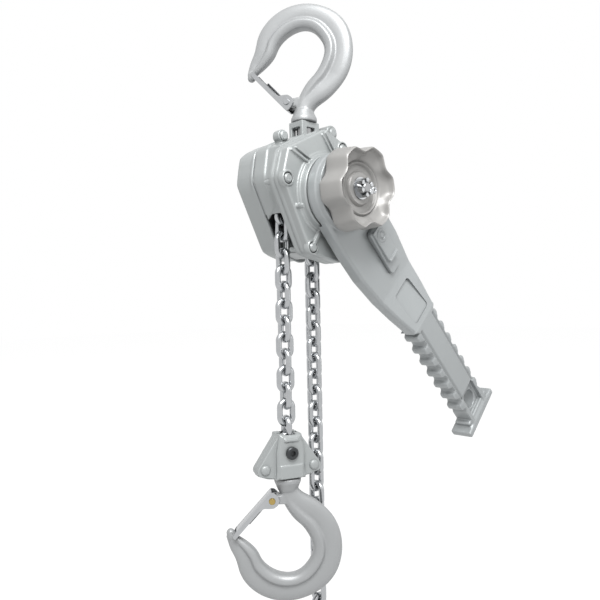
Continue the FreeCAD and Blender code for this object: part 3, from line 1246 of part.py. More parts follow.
def hook_set(name, place):
    """One hook with its nut, latch, latch pin and spring, in the hook's own place."""
    pivot = Placement(Vector(-size("latch_pivot_out"), 0, -size("latch_pivot_drop")),
                      Rotation(Vector(1, 0, 0), 90))
    node(name + "_hook", hook_shape(name + "_hook"), place)
    nut = ring(name + "_nut_ring", "shank_dia / 2", "hook_nut_radius",
               "0 - collar_drop - yoke_top - 2 * running_gap - hook_nut_height", "hook_nut_height")
    node(name + "_hook_nut", nut, place)
    node(name + "_latch", latch_shape(name + "_latch"), place.multiply(latch_frame()))
    node(name + "_latch_pin", latch_pin_shape(name + "_latch_pin"), place.multiply(pivot))
    node(name + "_latch_spring", shaped(name + "_spring_tube", latch_spring_shape()),
         place.multiply(pivot))


def hooks():
    """The top hook as the hoist hangs from it, and the same forging the other way up on the chain."""
    hook_set("top", Placement(Vector(), Rotation(Vector(0, 0, 1), size("top_hook_turn"))))
    strand = evaluate("shaft_x - (%s)" % STRAND)
    below = Placement(Vector(strand, 0, size("shaft_z") - size("hook_drop")),
                      Rotation(Vector(0, 0, 1),
                               size("bottom_hook_turn")).multiply(Rotation(Vector(1, 0, 0), 180)))
    hook_set("bottom", below)


# Yoke under the top hook

def top_yoke():
    """The swivel block that joins the top hook to the frame's pin."""
    top = "0 - collar_drop - running_gap"
    pin = "0 - collar_drop - yoke_pin_drop"
    upper = block("yoke_upper", ("0 - yoke_wide / 2", "0 - yoke_deep / 2", pin),
                  ("yoke_wide", "yoke_deep", "yoke_pin_drop - running_gap"))
    lower = solid("Cylinder", "yoke_lower", Radius="yoke_wide / 2", Height="yoke_deep")
    lower.Placement = Placement(Vector(0, size("yoke_deep") / 2, evaluate(pin)),
                                Rotation(Vector(1, 0, 0), 90))
    bore = solid("Cylinder", "yoke_bore", Radius="yoke_pin_dia / 2 + bore_gap", Height="yoke_deep + 2")
    bore.Placement = Placement(Vector(0, size("yoke_deep") / 2 + 1, evaluate(pin)),
                               Rotation(Vector(1, 0, 0), 90))
    shank = rod("yoke_shank_way", "shank_dia / 2 + bore_gap", top + " - yoke_top - 1", "yoke_top + 2")
    floor = "%s + yoke_pin_dia / 2 + 2.2" % pin
    room = "yoke_pin_drop - running_gap - yoke_top - yoke_pin_dia / 2 - 2.2"
    through = block("yoke_window_along", ("0 - yoke_wide", "yoke_leg - yoke_deep / 2", floor),
                    ("2 * yoke_wide", "yoke_deep - 2 * yoke_leg", room))
    across = block("yoke_window_across", ("0 - yoke_window / 2", "0 - yoke_deep", floor),
                   ("yoke_window", "2 * yoke_deep", room))
    whole = cut("yoke_cut", union("yoke_blank", [upper, lower]), [bore, shank, through, across])
    return node("top_yoke", whole, Placement())


def yoke_pin():
    """The pin through the frame's cheeks and the yoke."""
    pin_x, pin_y = pin_place()
    body = turned("yoke_pin_turned", [
        ("0", CHEEK_BACK), ("yoke_pin_dia / 2", CHEEK_BACK),
        ("yoke_pin_dia / 2", "cheek_inner + cheek_thick"),
        ("yoke_pin_dia / 2 + 1.2", "cheek_inner + cheek_thick"),
        ("yoke_pin_dia / 2 + 1.2", "cheek_inner + cheek_thick + 1.8"),
        ("0", "cheek_inner + cheek_thick + 1.8")])
    bind(body, "Placement.Base.x", pin_x)
    bind(body, "Placement.Base.y", pin_y)
    return node("yoke_pin", body, shaft_frame())


# Chain

def link_shape():
    """One welded chain link in its own plane, long way along x."""
    wire = size("chain_wire") / 2
    bend = size("chain_width") / 2 - wire
    straight = (size("chain_pitch") + size("chain_play")) / 2 + wire - bend
    link = None
    for side in (1, -1):
        bar = Part.makeCylinder(wire, 2 * straight, Vector(-straight, side * bend, 0), Vector(1, 0, 0))
        profile = Part.Face(Part.Wire(Part.Circle(Vector(side * straight, side * bend, 0),
                                                  Vector(1, 0, 0), wire).toShape()))
        crown = profile.revolve(Vector(side * straight, 0, 0), Vector(0, 0, 1), -180)
        link = bar.fuse(crown) if link is None else link.fuse([bar, crown])
    return link.removeSplitter()


def link_at(link, x, y, heading, roll):
    """A copy of the link in the shaft's frame: heading of its long way, and roll about it."""
    copy = link.copy()
    turn = Rotation(Vector(0, 0, 1), heading).multiply(Rotation(Vector(1, 0, 0), roll))
    copy.Placement = Placement(Vector(x, y, 0), turn)
    return copy


def strand(link, x, first, count, rolls):
    """A straight hanging run of links, every second one turned by a quarter."""
    pitch = size("chain_pitch")
    return [link_at(link, x, first - number * pitch, 90, rolls[number]) for number in range(count)]


def chains():
    """The load strand, the links on the sheave and the tail with its end ring."""
    link = link_shape()
    side = evaluate(STRAND)
    loads = int(size("load_links"))
    tails = int(size("tail_links"))
    twist = size("chain_twist") / (loads - 1)
    load_rolls = [twist * number + (0 if number % 2 == 0 else 90) for number in range(loads)]
    load = strand(link, -side, evaluate(LOAD_START), loads, load_rolls)
    tail = strand(link, side, evaluate(TAIL_START), tails,
                  [90 if number % 2 == 0 else 0 for number in range(tails)])
    wrapped = []
    step = 180 / size("sheave_pockets")
    for number in range(int(size("sheave_pockets"))):
        angle = 180 - step / 2 + size("sheave_phase") - step * number
        radius = evaluate(FLAT_RADIUS if number % 2 == 0 else STANDING_RADIUS)
        x, y = radius * math.cos(math.radians(angle)), radius * math.sin(math.radians(angle))
        wrapped.append(link_at(link, x, y, angle + 90, 90 if number % 2 == 0 else 0))
    node("load_chain", shaped("load_links", Part.makeCompound(load)), shaft_frame())
    node("sheave_chain", shaped("sheave_links", Part.makeCompound(wrapped)), shaft_frame())
    node("tail_chain", shaped("tail_links", Part.makeCompound(tail)), shaft_frame())
    wire, radius = 5, 15
    last_link = evaluate(TAIL_START) - (tails - 1) * size("chain_pitch")
    crown = last_link - (size("chain_pitch") + size("chain_play")) / 2
    end_ring = Part.makeTorus(radius, wire / 2, Vector(),
                              Vector(1, 0, 0) if tails % 2 == 0 else Vector(0, 0, 1))
    end_ring.translate(Vector(side, crown + wire / 2 + size("running_gap") - radius, 0))
    node("chain_end_ring", shaped("chain_end_ring_torus", end_ring), shaft_frame())


# Bottom block

PIN_DROP = LOAD_START + (" - (load_links - 1) * chain_pitch - (chain_pitch + chain_play) / 2"
                         " + chain_pin_dia / 2 + running_gap")
BLOCK_FLOOR = "collar_drop + running_gap - hook_drop - (%s)" % PIN_DROP


def block_frame():
    """The bottom block's frame: origin at the chain pin, z along the pin towards the front."""
    place = Placement(Vector(-evaluate(STRAND), evaluate(PIN_DROP), 0),
                      Rotation(Vector(0, 1, 0), size("chain_twist")))
    return shaft_frame().multiply(place)


def block_half(side, sign):
    """One half of the bottom block, from the middle plane outwards."""
    floor = BLOCK_FLOOR
    start = "0.05" if sign > 0 else "-block_ear_thick"
    core_start = "0.05" if sign > 0 else "-block_core_thick"
    ears = slab(side + "_ears", [
        ("-block_top_half", "block_top - 6"), ("-block_half + 2", "5 - block_ear_drop"),
        ("-block_half", "1 - block_ear_drop"),
        ("2 - block_half", "-block_ear_drop - 4"), ("-block_bottom_half - 8", floor + " + 1"),
        ("-block_bottom_half", floor),
        ("block_bottom_half", floor), ("block_bottom_half + 8", floor + " + 1"),
        ("block_half - 2", "-block_ear_drop - 4"),
        ("block_half", "1 - block_ear_drop"), ("block_half - 2", "5 - block_ear_drop"),
        ("block_top_half", "block_top - 6")],
        start, "block_ear_thick - 0.05")
    core = slab(side + "_core", [
        ("-block_top_half", "block_top"), ("-block_core_half", "0"),
        ("-block_core_half", "-block_ear_drop"),
        ("-block_bottom_half", floor), ("block_bottom_half", floor),
        ("block_core_half", "-block_ear_drop"),
        ("block_core_half", "0"), ("block_top_half", "block_top")],
        core_start, "block_core_thick - 0.05")
    bevel_rim(core, size("block_core_thick") * sign, "3", side + "_core_edge")
    bevel_rim(ears, size("block_ear_thick") * sign, "2", side + "_ears_edge")
    deep = "2 * block_core_thick + 2"
    link_way = block(side + "_link_way", ("-13", "0 - chain_wire - chain_pin_dia / 2 - 1.1", "-4.6"),
                     ("26", "60", "9.2"))
    next_way = block(side + "_next_way", ("-6.5", "6.5", "-12.7"), ("13", "40", "25.4"))
    nut_way = solid("Cylinder", side + "_nut_way", Radius="hook_nut_radius + 0.4",
                    Height="hook_nut_height + 2.4")
    nut_way.Placement = Placement(Vector(0, evaluate(floor + " + yoke_top"), 0),
                                  Rotation(Vector(1, 0, 0), -90))
    shank_way = solid("Cylinder", side + "_shank_way", Radius="shank_dia / 2 + bore_gap",
                      Height="yoke_top + 2")
    shank_way.Placement = Placement(Vector(0, evaluate(floor + " - 1"), 0),
                                    Rotation(Vector(1, 0, 0), -90))
    tools = [link_way, next_way, nut_way, shank_way,
             rod(side + "_chain_pin_way", "chain_pin_dia / 2", "-block_core_thick - 1", deep)]
    for number, across in enumerate(("-rivet_across", "rivet_across")):
        tools.append(rod(side + "_rivet_way_%d" % number, "rivet_dia / 2", "-block_ear_thick - 1",
                         "2 * block_ear_thick + 2", across, "-rivet_drop"))
    return cut(side + "_block_cut", union(side + "_block_blank", [ears, core]), tools)


def bottom_block():
    """Two halves held by two rivets, with the bolt that carries the last link."""
    node("bottom_block_front", block_half("front", 1), block_frame())
    node("bottom_block_back", block_half("back", -1), block_frame())
    rivets = []
    for number, across in enumerate(("-rivet_across", "rivet_across")):
        rivet = turned("rivet_%d" % number, [
            ("0", "-block_ear_thick - 2.6"), ("rivet_dia * 0.6", "-block_ear_thick - 2.2"),
            ("rivet_dia * 0.85", "-block_ear_thick"), ("rivet_dia / 2", "-block_ear_thick"),
            ("rivet_dia / 2", "block_ear_thick"), ("rivet_dia * 0.85", "block_ear_thick"),
            ("rivet_dia * 0.6", "block_ear_thick + 2.2"), ("0", "block_ear_thick + 2.6")])
        bind(rivet, "Placement.Base.x", across)
        bind(rivet, "Placement.Base.y", "-rivet_drop")
        rivets.append(rivet)
    node("block_rivets", union("block_rivet_set", rivets), block_frame())
    pin = turned("chain_pin_turned", [
        ("0", "-block_core_thick - 6.5"), ("chain_pin_dia / 2", "-block_core_thick - 6.5"),
        ("chain_pin_dia / 2", "block_core_thick"), ("7.4", "block_core_thick"),
        ("7.4", "block_core_thick + 3.6"),
        ("6.2", "block_core_thick + 4.6"), ("0", "block_core_thick + 4.6")])
    socket = new_body("chain_pin_socket")
    outline = sketch_on(socket, "XY_Plane", "chain_pin_socket_outline", "block_core_thick + 1.6")
    corner = "3.2 * tan(30)"
    polygon(outline, [("3.2", "0 - " + corner), ("3.2", corner), ("0", "3.2 / cos(30)"), ("-3.2", corner),
                      ("-3.2", "0 - " + corner), ("0", "0 - 3.2 / cos(30)")])
    pad(socket, outline, "4", "chain_pin_socket_pad")
    node("chain_pin", cut("chain_pin_cut", pin, [socket]), block_frame())
    nut = new_body("chain_pin_nut_body")
    hexagon = sketch_on(nut, "XY_Plane", "chain_pin_nut_outline", "-block_core_thick - 5")
    corner = "7 * tan(30)"
    polygon(hexagon, [("7", "0 - " + corner), ("7", corner), ("0", "7 / cos(30)"), ("-7", corner),
                      ("-7", "0 - " + corner), ("0", "0 - 7 / cos(30)")])
    pad(nut, hexagon, "5", "chain_pin_nut_pad")
    bore = rod("chain_pin_nut_bore", "chain_pin_dia / 2", "-block_core_thick - 6", "8")
    node("chain_pin_nut", cut("chain_pin_nut_cut", nut, [bore]), block_frame())


# Build, check and write

def build():
    """Makes every sub-part."""
    fill_sheet()
    for make in (main_frame, gear_plate, gear_cover, brake_cover, cover_screws, gear_screws, lug_bolts,
                 bearings,
                 load_sheave, load_gear, gear_clip, disc_gears, gear_shafts, pinion_shaft, brake_stack,
                 pawls,
                 stripper, lever_body, lever_cover, lever_screws, selector, selector_pawl, handwheel,
                 castle_nut,
                 wheel_washer, cotter_pin, top_yoke, yoke_pin, hooks, chains, bottom_block):
        make()
    doc.recompute()


def check_all():
    """Stops at the first object that didn't rebuild, or whose shape isn't sound."""
    for obj in doc.Objects:
        if "Invalid" in obj.State or "Error" in obj.State:
            raise RuntimeError("%s did not rebuild" % obj.Label)
    for obj in nodes:
        if obj.Shape.isNull() or not obj.Shape.isValid():
            raise RuntimeError("%s is not a sound shape" % obj.Label)


def write_all():
    """Writes one STEP file for each sub-part."""
    os.makedirs("parts", exist_ok=True)
    for obj in nodes:
        obj.Shape.exportStep("parts/%s.step" % obj.Label)
    print("%d sub-parts written" % len(nodes))


build()
check_all()
write_all()
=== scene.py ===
import json
import math

import bmesh
import bpy
from mathutils import Matrix, Vector
from mathutils.kdtree import KDTree


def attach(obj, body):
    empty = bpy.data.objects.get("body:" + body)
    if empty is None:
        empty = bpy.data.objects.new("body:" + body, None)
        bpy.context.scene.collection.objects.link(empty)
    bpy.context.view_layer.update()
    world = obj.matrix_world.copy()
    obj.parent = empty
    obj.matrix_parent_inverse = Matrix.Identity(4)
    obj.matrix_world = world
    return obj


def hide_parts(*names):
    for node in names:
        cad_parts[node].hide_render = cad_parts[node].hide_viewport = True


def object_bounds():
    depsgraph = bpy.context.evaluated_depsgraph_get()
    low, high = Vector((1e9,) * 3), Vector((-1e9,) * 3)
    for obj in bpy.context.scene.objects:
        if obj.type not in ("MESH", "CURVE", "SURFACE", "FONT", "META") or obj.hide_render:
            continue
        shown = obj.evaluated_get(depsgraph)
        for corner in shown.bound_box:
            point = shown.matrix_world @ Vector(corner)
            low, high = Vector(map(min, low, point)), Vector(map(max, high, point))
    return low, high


bl_info = {
    "name": "Chain lever hoist",
    "version": (1, 0, 0),
    "blender": (4, 5, 0),
    "location": "View3D > Sidebar > Lever hoist",
    "description": "Finishes, casings, hooks, lever and handwheel of the packed chain lever hoist",
    "category": "Object",
}

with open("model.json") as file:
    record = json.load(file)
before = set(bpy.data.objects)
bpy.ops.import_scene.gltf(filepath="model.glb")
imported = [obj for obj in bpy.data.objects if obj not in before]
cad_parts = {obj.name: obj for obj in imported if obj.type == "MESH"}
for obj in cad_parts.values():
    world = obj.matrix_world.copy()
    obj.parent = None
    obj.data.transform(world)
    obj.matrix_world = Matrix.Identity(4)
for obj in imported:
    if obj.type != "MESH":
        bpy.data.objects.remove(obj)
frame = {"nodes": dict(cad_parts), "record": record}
CAD_BOX = [[float(number) for number in corner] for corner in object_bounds()]
MM = 0.001

# The drive shaft's place in millimetres, and the turns about it, in degrees, at which the solids stand
SHAFT = Vector((-16.0, 0.0, -213.5))
CASING_TILT = 26.5
LEVER_ANGLE = 43.9
WHEEL_TURN = 38.0
# How far the castle nut and its pin are turned on from there
NUT_TURN = -60

# The photograph's camera: its place in metres, its way and its roll in degrees
CAMERA_PLACE = (-0.5675, -0.565, -0.3369)
CAMERA_WAY = (0.7, 0.714, 0.0)
CAMERA_ROLL = 1.2
SENSOR_WIDTH = 36

# The lamps' places and widths, and the place in the casing that they look at, in metres
KEY_PLACE = (-0.75, -0.85, 0.85)
KEY_WIDTH = 1.0
FILL_PLACE = (0.9, -1.2, 0.1)
FILL_WIDTH = 1.2
LAMP_AIM = (0.0, 0.0, -0.25)

# The floor in metres; where it is seen, a share of its look is a glow, and the rest shows the shadow
FLOOR_MIDDLE = (1.5, 1.5)
FLOOR_SIZE = 14
FLOOR_WHITE = (0.86, 0.86, 0.86, 1)
FLOOR_GLOW = 1.16
GLOW_SHARE = 0.82
# The white room's strength where it is seen, and for the light that it gives the object
ROOM_SEEN = 1.0
ROOM_LIGHT = 0.26

# Painted shade: the colour darkens to near black where less around it, up to a reach in millimetres, is
# open
# The near-black colour of the painted shade in corners
PAINTED_SHADE_COLOUR = (0.03, 0.03, 0.03, 1)
CORNER_REACH = 7
CORNER_CLOSED = 0.3
CORNER_OPEN = 0.92


# Colours and sizes that a user would change

class HoistFinish(bpy.types.PropertyGroup):
    casting_grey: bpy.props.StringProperty(
        name="Casting paint", default="#A5A9A9",
        description="sRGB hex of the silver-grey paint on the castings")
    lever_grey: bpy.props.StringProperty(
        name="Lever paint", default="#A4A8A9",
        description="sRGB hex of the silver-grey paint on the pressed lever")
    wheel_grey: bpy.props.StringProperty(
        name="Handwheel paint", default="#9E9D9B",
        description="sRGB hex of the warmer grey paint on the handwheel")
    hook_grey: bpy.props.StringProperty(
        name="Hook paint", default="#A3A5A6",
        description="sRGB hex of the silver paint on the forged hooks")
    zinc_white: bpy.props.StringProperty(
        name="Zinc plating", default="#B8BABC",
        description="sRGB hex of the bright zinc on chain and latches")
    metallic_flake: bpy.props.FloatProperty(
        name="Flake", default=0.25, min=0.0, max=1.0, subtype="FACTOR",
        description="How much of the paint's light comes back from its metal flake")
    # Strength of the painted shade that darkens the paint's colour in narrow corners
    corner_shade: bpy.props.FloatProperty(
        name="Corner shade", default=0.45, min=0.0, max=1.0, subtype="FACTOR",
        description="How much darker the paint is in its narrow corners")


class HoistStage(bpy.types.PropertyGroup):
    key_power: bpy.props.FloatProperty(
        name="Key light", default=39.0, min=0.0, unit="POWER",
        description="Power of the soft light in front, high at the left")
    fill_power: bpy.props.FloatProperty(
        name="Fill light", default=2.5, min=0.0, unit="POWER",
        description="Power of the soft light at the right")
    floor_drop: bpy.props.FloatProperty(
        name="Floor", default=CAD_BOX[0][2] - 0.02, unit="LENGTH",
        description="Height of the studio floor")
    lens: bpy.props.FloatProperty(
        name="Lens", default=38.4, min=10.0, unit="CAMERA",
        description="Focal length on a 36 mm sensor")


# Materials

def linear(hex_colour):
    """An sRGB hex colour as linear RGBA."""
    channels = [int(hex_colour[start:start + 2], 16) / 255 for start in (1, 3, 5)]
    rgb = [c / 12.92 if c <= 0.04045 else ((c + 0.055) / 1.055) ** 2.4 for c in channels]
    return (*rgb, 1.0)


def add(tree, kind, inputs=None, **settings):
    """Adds a node with its settings; an input given as a socket is linked, anything else is its value."""
    node = tree.nodes.new(kind)
    for name, value in settings.items():
        setattr(node, name, value)
    for name, value in (inputs or {}).items():
        if isinstance(value, bpy.types.NodeSocket):
            tree.links.new(value, node.inputs[name])
        else:
            node.inputs[name].default_value = value
    return node


def new_material(name):
    """An empty material with its output and the object's coordinates."""
    material = bpy.data.materials.new(name)
    material.use_nodes = True
    tree = material.node_tree
    tree.nodes.clear()
    output = add(tree, "ShaderNodeOutputMaterial")
    place = add(tree, "ShaderNodeTexCoord").outputs["Object"]
    return material, tree, output, place


def shade(tree, place, size_mm, low, high):
    """A noise of a real size, brought between two values."""
    noise = add(tree, "ShaderNodeTexNoise", {"Vector": place, "Scale": 1000 / size_mm, "Detail": 3.0})
    return add(tree, "ShaderNodeMapRange", {"Value": noise.outputs["Fac"], "To Min": low, "To Max": high})


def clouded(tree, place, hex_colour, size_mm, dark_share):
    """A colour that darkens to a share of itself in soft clouds of a real size."""
    cloud = shade(tree, place, size_mm, 0.0, 1.0)
    base = linear(hex_colour)
    darker = tuple(dark_share * channel for channel in base[:3]) + (1.0,)
    return add(tree, "ShaderNodeMix", {"Factor": cloud.outputs[0], "A": darker, "B": base},
               data_type="RGBA")


def grained(tree, place, size_mm, depth_mm, strength, detail):
    """The bumps of a surface from a grain of a real size and depth."""
    grain = add(tree, "ShaderNodeTexNoise", {"Vector": place, "Scale": 1000 / size_mm, "Detail": detail})
    return add(tree, "ShaderNodeBump",
               {"Height": grain.outputs["Fac"], "Strength": strength, "Distance": depth_mm * MM})


def paint(name, hex_colour, grain_mm, depth_mm, roughness, flake):
    """A satin coat with a share of metal flake over the skin of its metal, with painted shade that darkens
    its colour in narrow corners.
    """
    material, tree, output, place = new_material(name)
    # A sprayed coat varies in thickness over some 45 mm, and in its sheen over some 12 mm
    tint = clouded(tree, place, hex_colour, size_mm=45, dark_share=0.93)
    # Painted shade: ambient occlusion darkens the coat's colour towards near black in corners and recesses
    corners = add(tree, "ShaderNodeAmbientOcclusion", {"Distance": CORNER_REACH * MM}, samples=8)
    open_share = add(tree, "ShaderNodeMapRange",
                     {"Value": corners.outputs["AO"], "From Min": CORNER_CLOSED, "From Max": CORNER_OPEN,
                      "To Min": 1 - bpy.context.scene.hoist_finish.corner_shade, "To Max": 1.0})
    corner_shaded_tint = add(tree, "ShaderNodeMix",
                {"Factor": open_share.outputs[0], "A": PAINTED_SHADE_COLOUR, "B": tint.outputs["Result"]},
                data_type="RGBA")
    sheen = shade(tree, place, size_mm=12, low=roughness - 0.05, high=roughness + 0.05)
    skin = grained(tree, place, grain_mm, depth_mm, strength=0.35, detail=4.0)
    coat = add(tree, "ShaderNodeBsdfPrincipled",
               {"Base Color": corner_shaded_tint.outputs["Result"], "Metallic": flake, "Roughness": sheen.outputs[0],
                "Normal": skin.outputs[0]})
    tree.links.new(coat.outputs[0], output.inputs["Surface"])
    return material


def metal(name, hex_colour, grain_mm, depth_mm, roughness):
    """Bare or plated metal, with fine uneven marks."""
    material, tree, output, place = new_material(name)
    # Plating and handling leave clouds of some 9 mm, and marks of some 3 mm in the sheen
    tint = clouded(tree, place, hex_colour, size_mm=9, dark_share=0.86)
    sheen = shade(tree, place, size_mm=3, low=roughness * 0.8, high=roughness * 1.25)
    marks = grained(tree, place, grain_mm, depth_mm, strength=0.3, detail=5.0)
    surface = add(tree, "ShaderNodeBsdfPrincipled",
                  {"Base Color": tint.outputs["Result"], "Metallic": 1.0, "Roughness": sheen.outputs[0],
                   "Normal": marks.outputs[0]})
    tree.links.new(surface.outputs[0], output.inputs["Surface"])
    return material


def finishes():
    """The hoist's materials by the record's slot."""
    # Blasting grit and tool marks are a few tenths of a millimetre wide and wouldn't show at the camera's
    # distance, so the grains are drawn two to five times as coarse
    colours = bpy.context.scene.hoist_finish
    flake = colours.metallic_flake
    return {
        # Sprayed over shot-blasted castings: an even silver with broad soft lights and a pebbled skin
        "paint": paint("satin silver paint on casting", colours.casting_grey,
                       grain_mm=1.6, depth_mm=0.12, roughness=0.38, flake=flake),
        # The same over rolled sheet: flatter and smoother, so that the lever's panels carry clean tones
        "lever_paint": paint("satin silver paint on pressed steel", colours.lever_grey,
                             grain_mm=1.2, depth_mm=0.07, roughness=0.38, flake=flake),
        # Warmer and a little duller, so that the handwheel stands apart from the cool castings
        "wheel_paint": paint("satin warm grey paint on casting", colours.wheel_grey,
                             grain_mm=1.6, depth_mm=0.10, roughness=0.42, flake=flake),
        # Thick paint that levels out over forging scale: long smooth lights round the hooks' bow
        "hook_paint": paint("semi-gloss silver paint on forging", colours.hook_grey,
                            grain_mm=3.0, depth_mm=0.15, roughness=0.40, flake=flake),
        # Electroplated: small sharp lights on every link, with darker sides between them
        "zinc": metal("bright zinc plating", colours.zinc_white,
                      grain_mm=0.8, depth_mm=0.02, roughness=0.24),
        # Turned and ground: narrow clean lights along shafts and screws
        "steel": metal("machined steel", "#9A9B9C", grain_mm=0.6, depth_mm=0.03, roughness=0.33),
        # As it left the sand: dark and dull, with a coarse grain
        "cast_steel": metal("cast steel", "#7C7D7E", grain_mm=1.5, depth_mm=0.1, roughness=0.5),
        # Blackened in a hot bath: near black with a low gleam
        "black_steel": paint("black oxide on steel", "#3E4042",
                             grain_mm=0.7, depth_mm=0.03, roughness=0.36, flake=0.6),
        # Zinc passivated yellow: a pale golden gleam
        "brass": metal("yellow zinc on steel", "#B79F62", grain_mm=0.8, depth_mm=0.03, roughness=0.3),
        # Fibre and resin pressed to shape: matt brown without a highlight
        "friction": paint("moulded brake lining", "#4A4039",
                          grain_mm=0.8, depth_mm=0.15, roughness=0.85, flake=0.0),
    }


def finish_of(slot_name):
    """The material made for one of the record's slots."""
    return bpy.data.materials[bpy.context.scene["finish " + slot_name]]


# Modelling, in millimetres in the drive shaft's own frame: x right, y up, z towards the handwheel

def fresh():
    """Leaves edit mode with nothing selected."""
    if bpy.context.object and bpy.context.object.mode == "EDIT":
        bpy.ops.object.mode_set(mode="OBJECT")
    bpy.ops.object.select_all(action="DESELECT")


def take(piece):
    """Makes one object the only one selected."""
    fresh()
    piece.select_set(True)
    bpy.context.view_layer.objects.active = piece


def edit_all():
    """Enters edit mode with everything selected."""
    bpy.ops.object.mode_set(mode="EDIT")
    bpy.ops.mesh.select_all(action="SELECT")


def choose(test):
    """In edit mode, selects the points that pass a test."""
    bpy.ops.mesh.select_mode(type="VERT")
    bpy.ops.mesh.select_all(action="DESELECT")
    mesh = bpy.context.object.data
    shape = bmesh.from_edit_mesh(mesh)
    for point in shape.verts:
        if test(point):
            point.select_set(True)
    shape.select_flush_mode()
    bmesh.update_edit_mesh(mesh)


def apply_place():
    """Moves the active object's place into its mesh."""
    bpy.ops.object.transform_apply(location=True, rotation=True, scale=True)


def to_shaft(turn):
    """From millimetres in the shaft's frame, turned about the shaft, to the model's own metres."""
    axes = Matrix(((1, 0, 0, 0), (0, 0, -1, 0), (0, 1, 0, 0), (0, 0, 0, 1)))
    return (Matrix.Scale(MM, 4) @ Matrix.Translation(SHAFT) @ axes
            @ Matrix.Rotation(math.radians(turn), 4, "Z"))


def set_down(piece, place):
    """Puts a piece drawn in millimetres at its place, with the place in its mesh."""
    take(piece)
    apply_place()
    piece.matrix_world = place
    apply_place()
    edit_all()
    bpy.ops.mesh.normals_make_consistent(inside=False)
    bpy.ops.object.mode_set(mode="OBJECT")


def finished(piece, body, slot_name, *nodes, angle=40):
    """Gives a piece its shading, finish and body, and hides the CAD nodes it stands for."""
    take(piece)
    bpy.ops.object.shade_smooth_by_angle(angle=math.radians(angle))
    piece.data.materials.clear()
    piece.data.materials.append(finish_of(slot_name))
    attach(piece, body)
    if nodes:
        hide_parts(*nodes)


def modify(piece, kind, **settings):
    """Adds a modifier and applies it."""
    take(piece)
    modifier = piece.modifiers.new(kind.lower(), kind)
    for name, value in settings.items():
        setattr(modifier, name, value)
    bpy.ops.object.modifier_apply(modifier=modifier.name)


def draw_up(profile):
    """Extrudes the chosen ring through a profile of sizes and heights, and merges ends that meet."""
    size, height = profile[0]
    for new_size, new_height in profile[1:]:
        bpy.ops.mesh.extrude_region_move(TRANSFORM_OT_translate={"value": (0, 0, new_height - height)})
        ratio = new_size / size
        bpy.ops.transform.resize(value=(ratio, ratio, 1), center_override=(0, 0, new_height))
        size, height = new_size, new_height
    bpy.ops.mesh.select_all(action="SELECT")
    bpy.ops.mesh.remove_doubles(threshold=0.001)
    bpy.ops.mesh.normals_make_consistent(inside=False)
    bpy.ops.object.mode_set(mode="OBJECT")


def turned(name, profile, sides=72, centre=(0, 0)):
    """A turned piece: a disc extruded and scaled to each radius and height in turn."""
    fresh()
    radius, height = profile[0]
    bored = profile[0] == profile[-1]
    bpy.ops.mesh.primitive_circle_add(vertices=sides, radius=radius, location=(0, 0, height),
                                      fill_type="NOTHING" if bored else "NGON")
    piece = bpy.context.object
    piece.name = name
    edit_all()
    draw_up(profile)
    piece.location.x, piece.location.y = centre
    return piece


def bar(name, low, high, bevel):
    """A block between two corners with every edge rounded."""
    fresh()
    middle = [(a + b) / 2 for a, b in zip(low, high)]
    bpy.ops.mesh.primitive_cube_add(size=1, location=middle, scale=[b - a for a, b in zip(low, high)])
    piece = bpy.context.object
    piece.name = name
    apply_place()
    edit_all()
    bpy.ops.mesh.bevel(offset=bevel, segments=2, affect="EDGES")
    bpy.ops.object.mode_set(mode="OBJECT")
    return piece


def outlined(name, points, low, high, corner=0.0, edge=0.0):
    """A plate of a given outline between two heights, its corners and its upper rim rounded."""
    fresh()
    bpy.ops.mesh.primitive_circle_add(vertices=len(points), radius=1, location=(0, 0, low),
                                      fill_type="NGON")
    piece = bpy.context.object
    piece.name = name
    bpy.ops.object.transform_apply(location=True)
    starts = [point.co.copy() for point in piece.data.vertices]
    bpy.ops.object.mode_set(mode="EDIT")
    for number, (x, y) in enumerate(points):
        choose(lambda point: point.index == number)
        bpy.ops.transform.translate(value=(x - starts[number].x, y - starts[number].y, 0))
    bpy.ops.mesh.select_all(action="SELECT")
    if corner:
        bpy.ops.mesh.bevel(offset=corner, segments=4, affect="VERTICES")
    bpy.ops.mesh.extrude_region_move(TRANSFORM_OT_translate={"value": (0, 0, high - low)})
    if edge:
        bpy.ops.mesh.bevel(offset=edge, segments=3, affect="EDGES")
    bpy.ops.mesh.select_all(action="SELECT")
    bpy.ops.mesh.normals_make_consistent(inside=False)
    bpy.ops.object.mode_set(mode="OBJECT")
    return piece


def plate(name, low, high, corner, edge=0.0):
    """A rectangular plate between two corners, rounded like an outlined one."""
    (x, y, z), (far_x, far_y, far_z) = low, high
    return outlined(name, [(x, y), (far_x, y), (far_x, far_y), (x, far_y)], z, far_z, corner, edge)


def hoop(name, outline, section):
    """A bead round a casing's outline: the outline scaled and lifted from step to step, and closed."""
    share, height = section[0]
    piece = outlined(name, [(share * x, share * y) for x, y in outline], height, height, BEAD_CORNER)
    edit_all()
    bpy.ops.mesh.remove_doubles(threshold=0.001)
    bpy.ops.mesh.delete(type="ONLY_FACE")
    bpy.ops.mesh.select_all(action="SELECT")
    draw_up(section)
    return piece


def rim_bead(name, foot):
    """The bead round the casing's brake side from the height of its foot."""
    return hoop(name, BRAKE_OUTLINE, [(share, foot + height) for share, height in RIM_BEAD])


def gusset(name, start, end, width):
    """A rib of the brake cover, from its rim up to the dome."""
    run = Vector(end) - Vector(start)
    piece = bar(name, (0, -width / 2, GUSSET_FOOT), (run.length, width / 2, GUSSET_LOW), bevel=0.7)
    moved(piece, lambda point: point.co.x > run.length / 2 and point.co.z > GUSSET_FOOT + 1,
          bpy.ops.transform.translate, value=(0, 0, GUSSET_HIGH - GUSSET_LOW))
    piece.matrix_world = (Matrix.Translation((start[0], start[1], 0))
                          @ Matrix.Rotation(math.atan2(run.y, run.x), 4, "Z"))
    apply_place()
    return piece


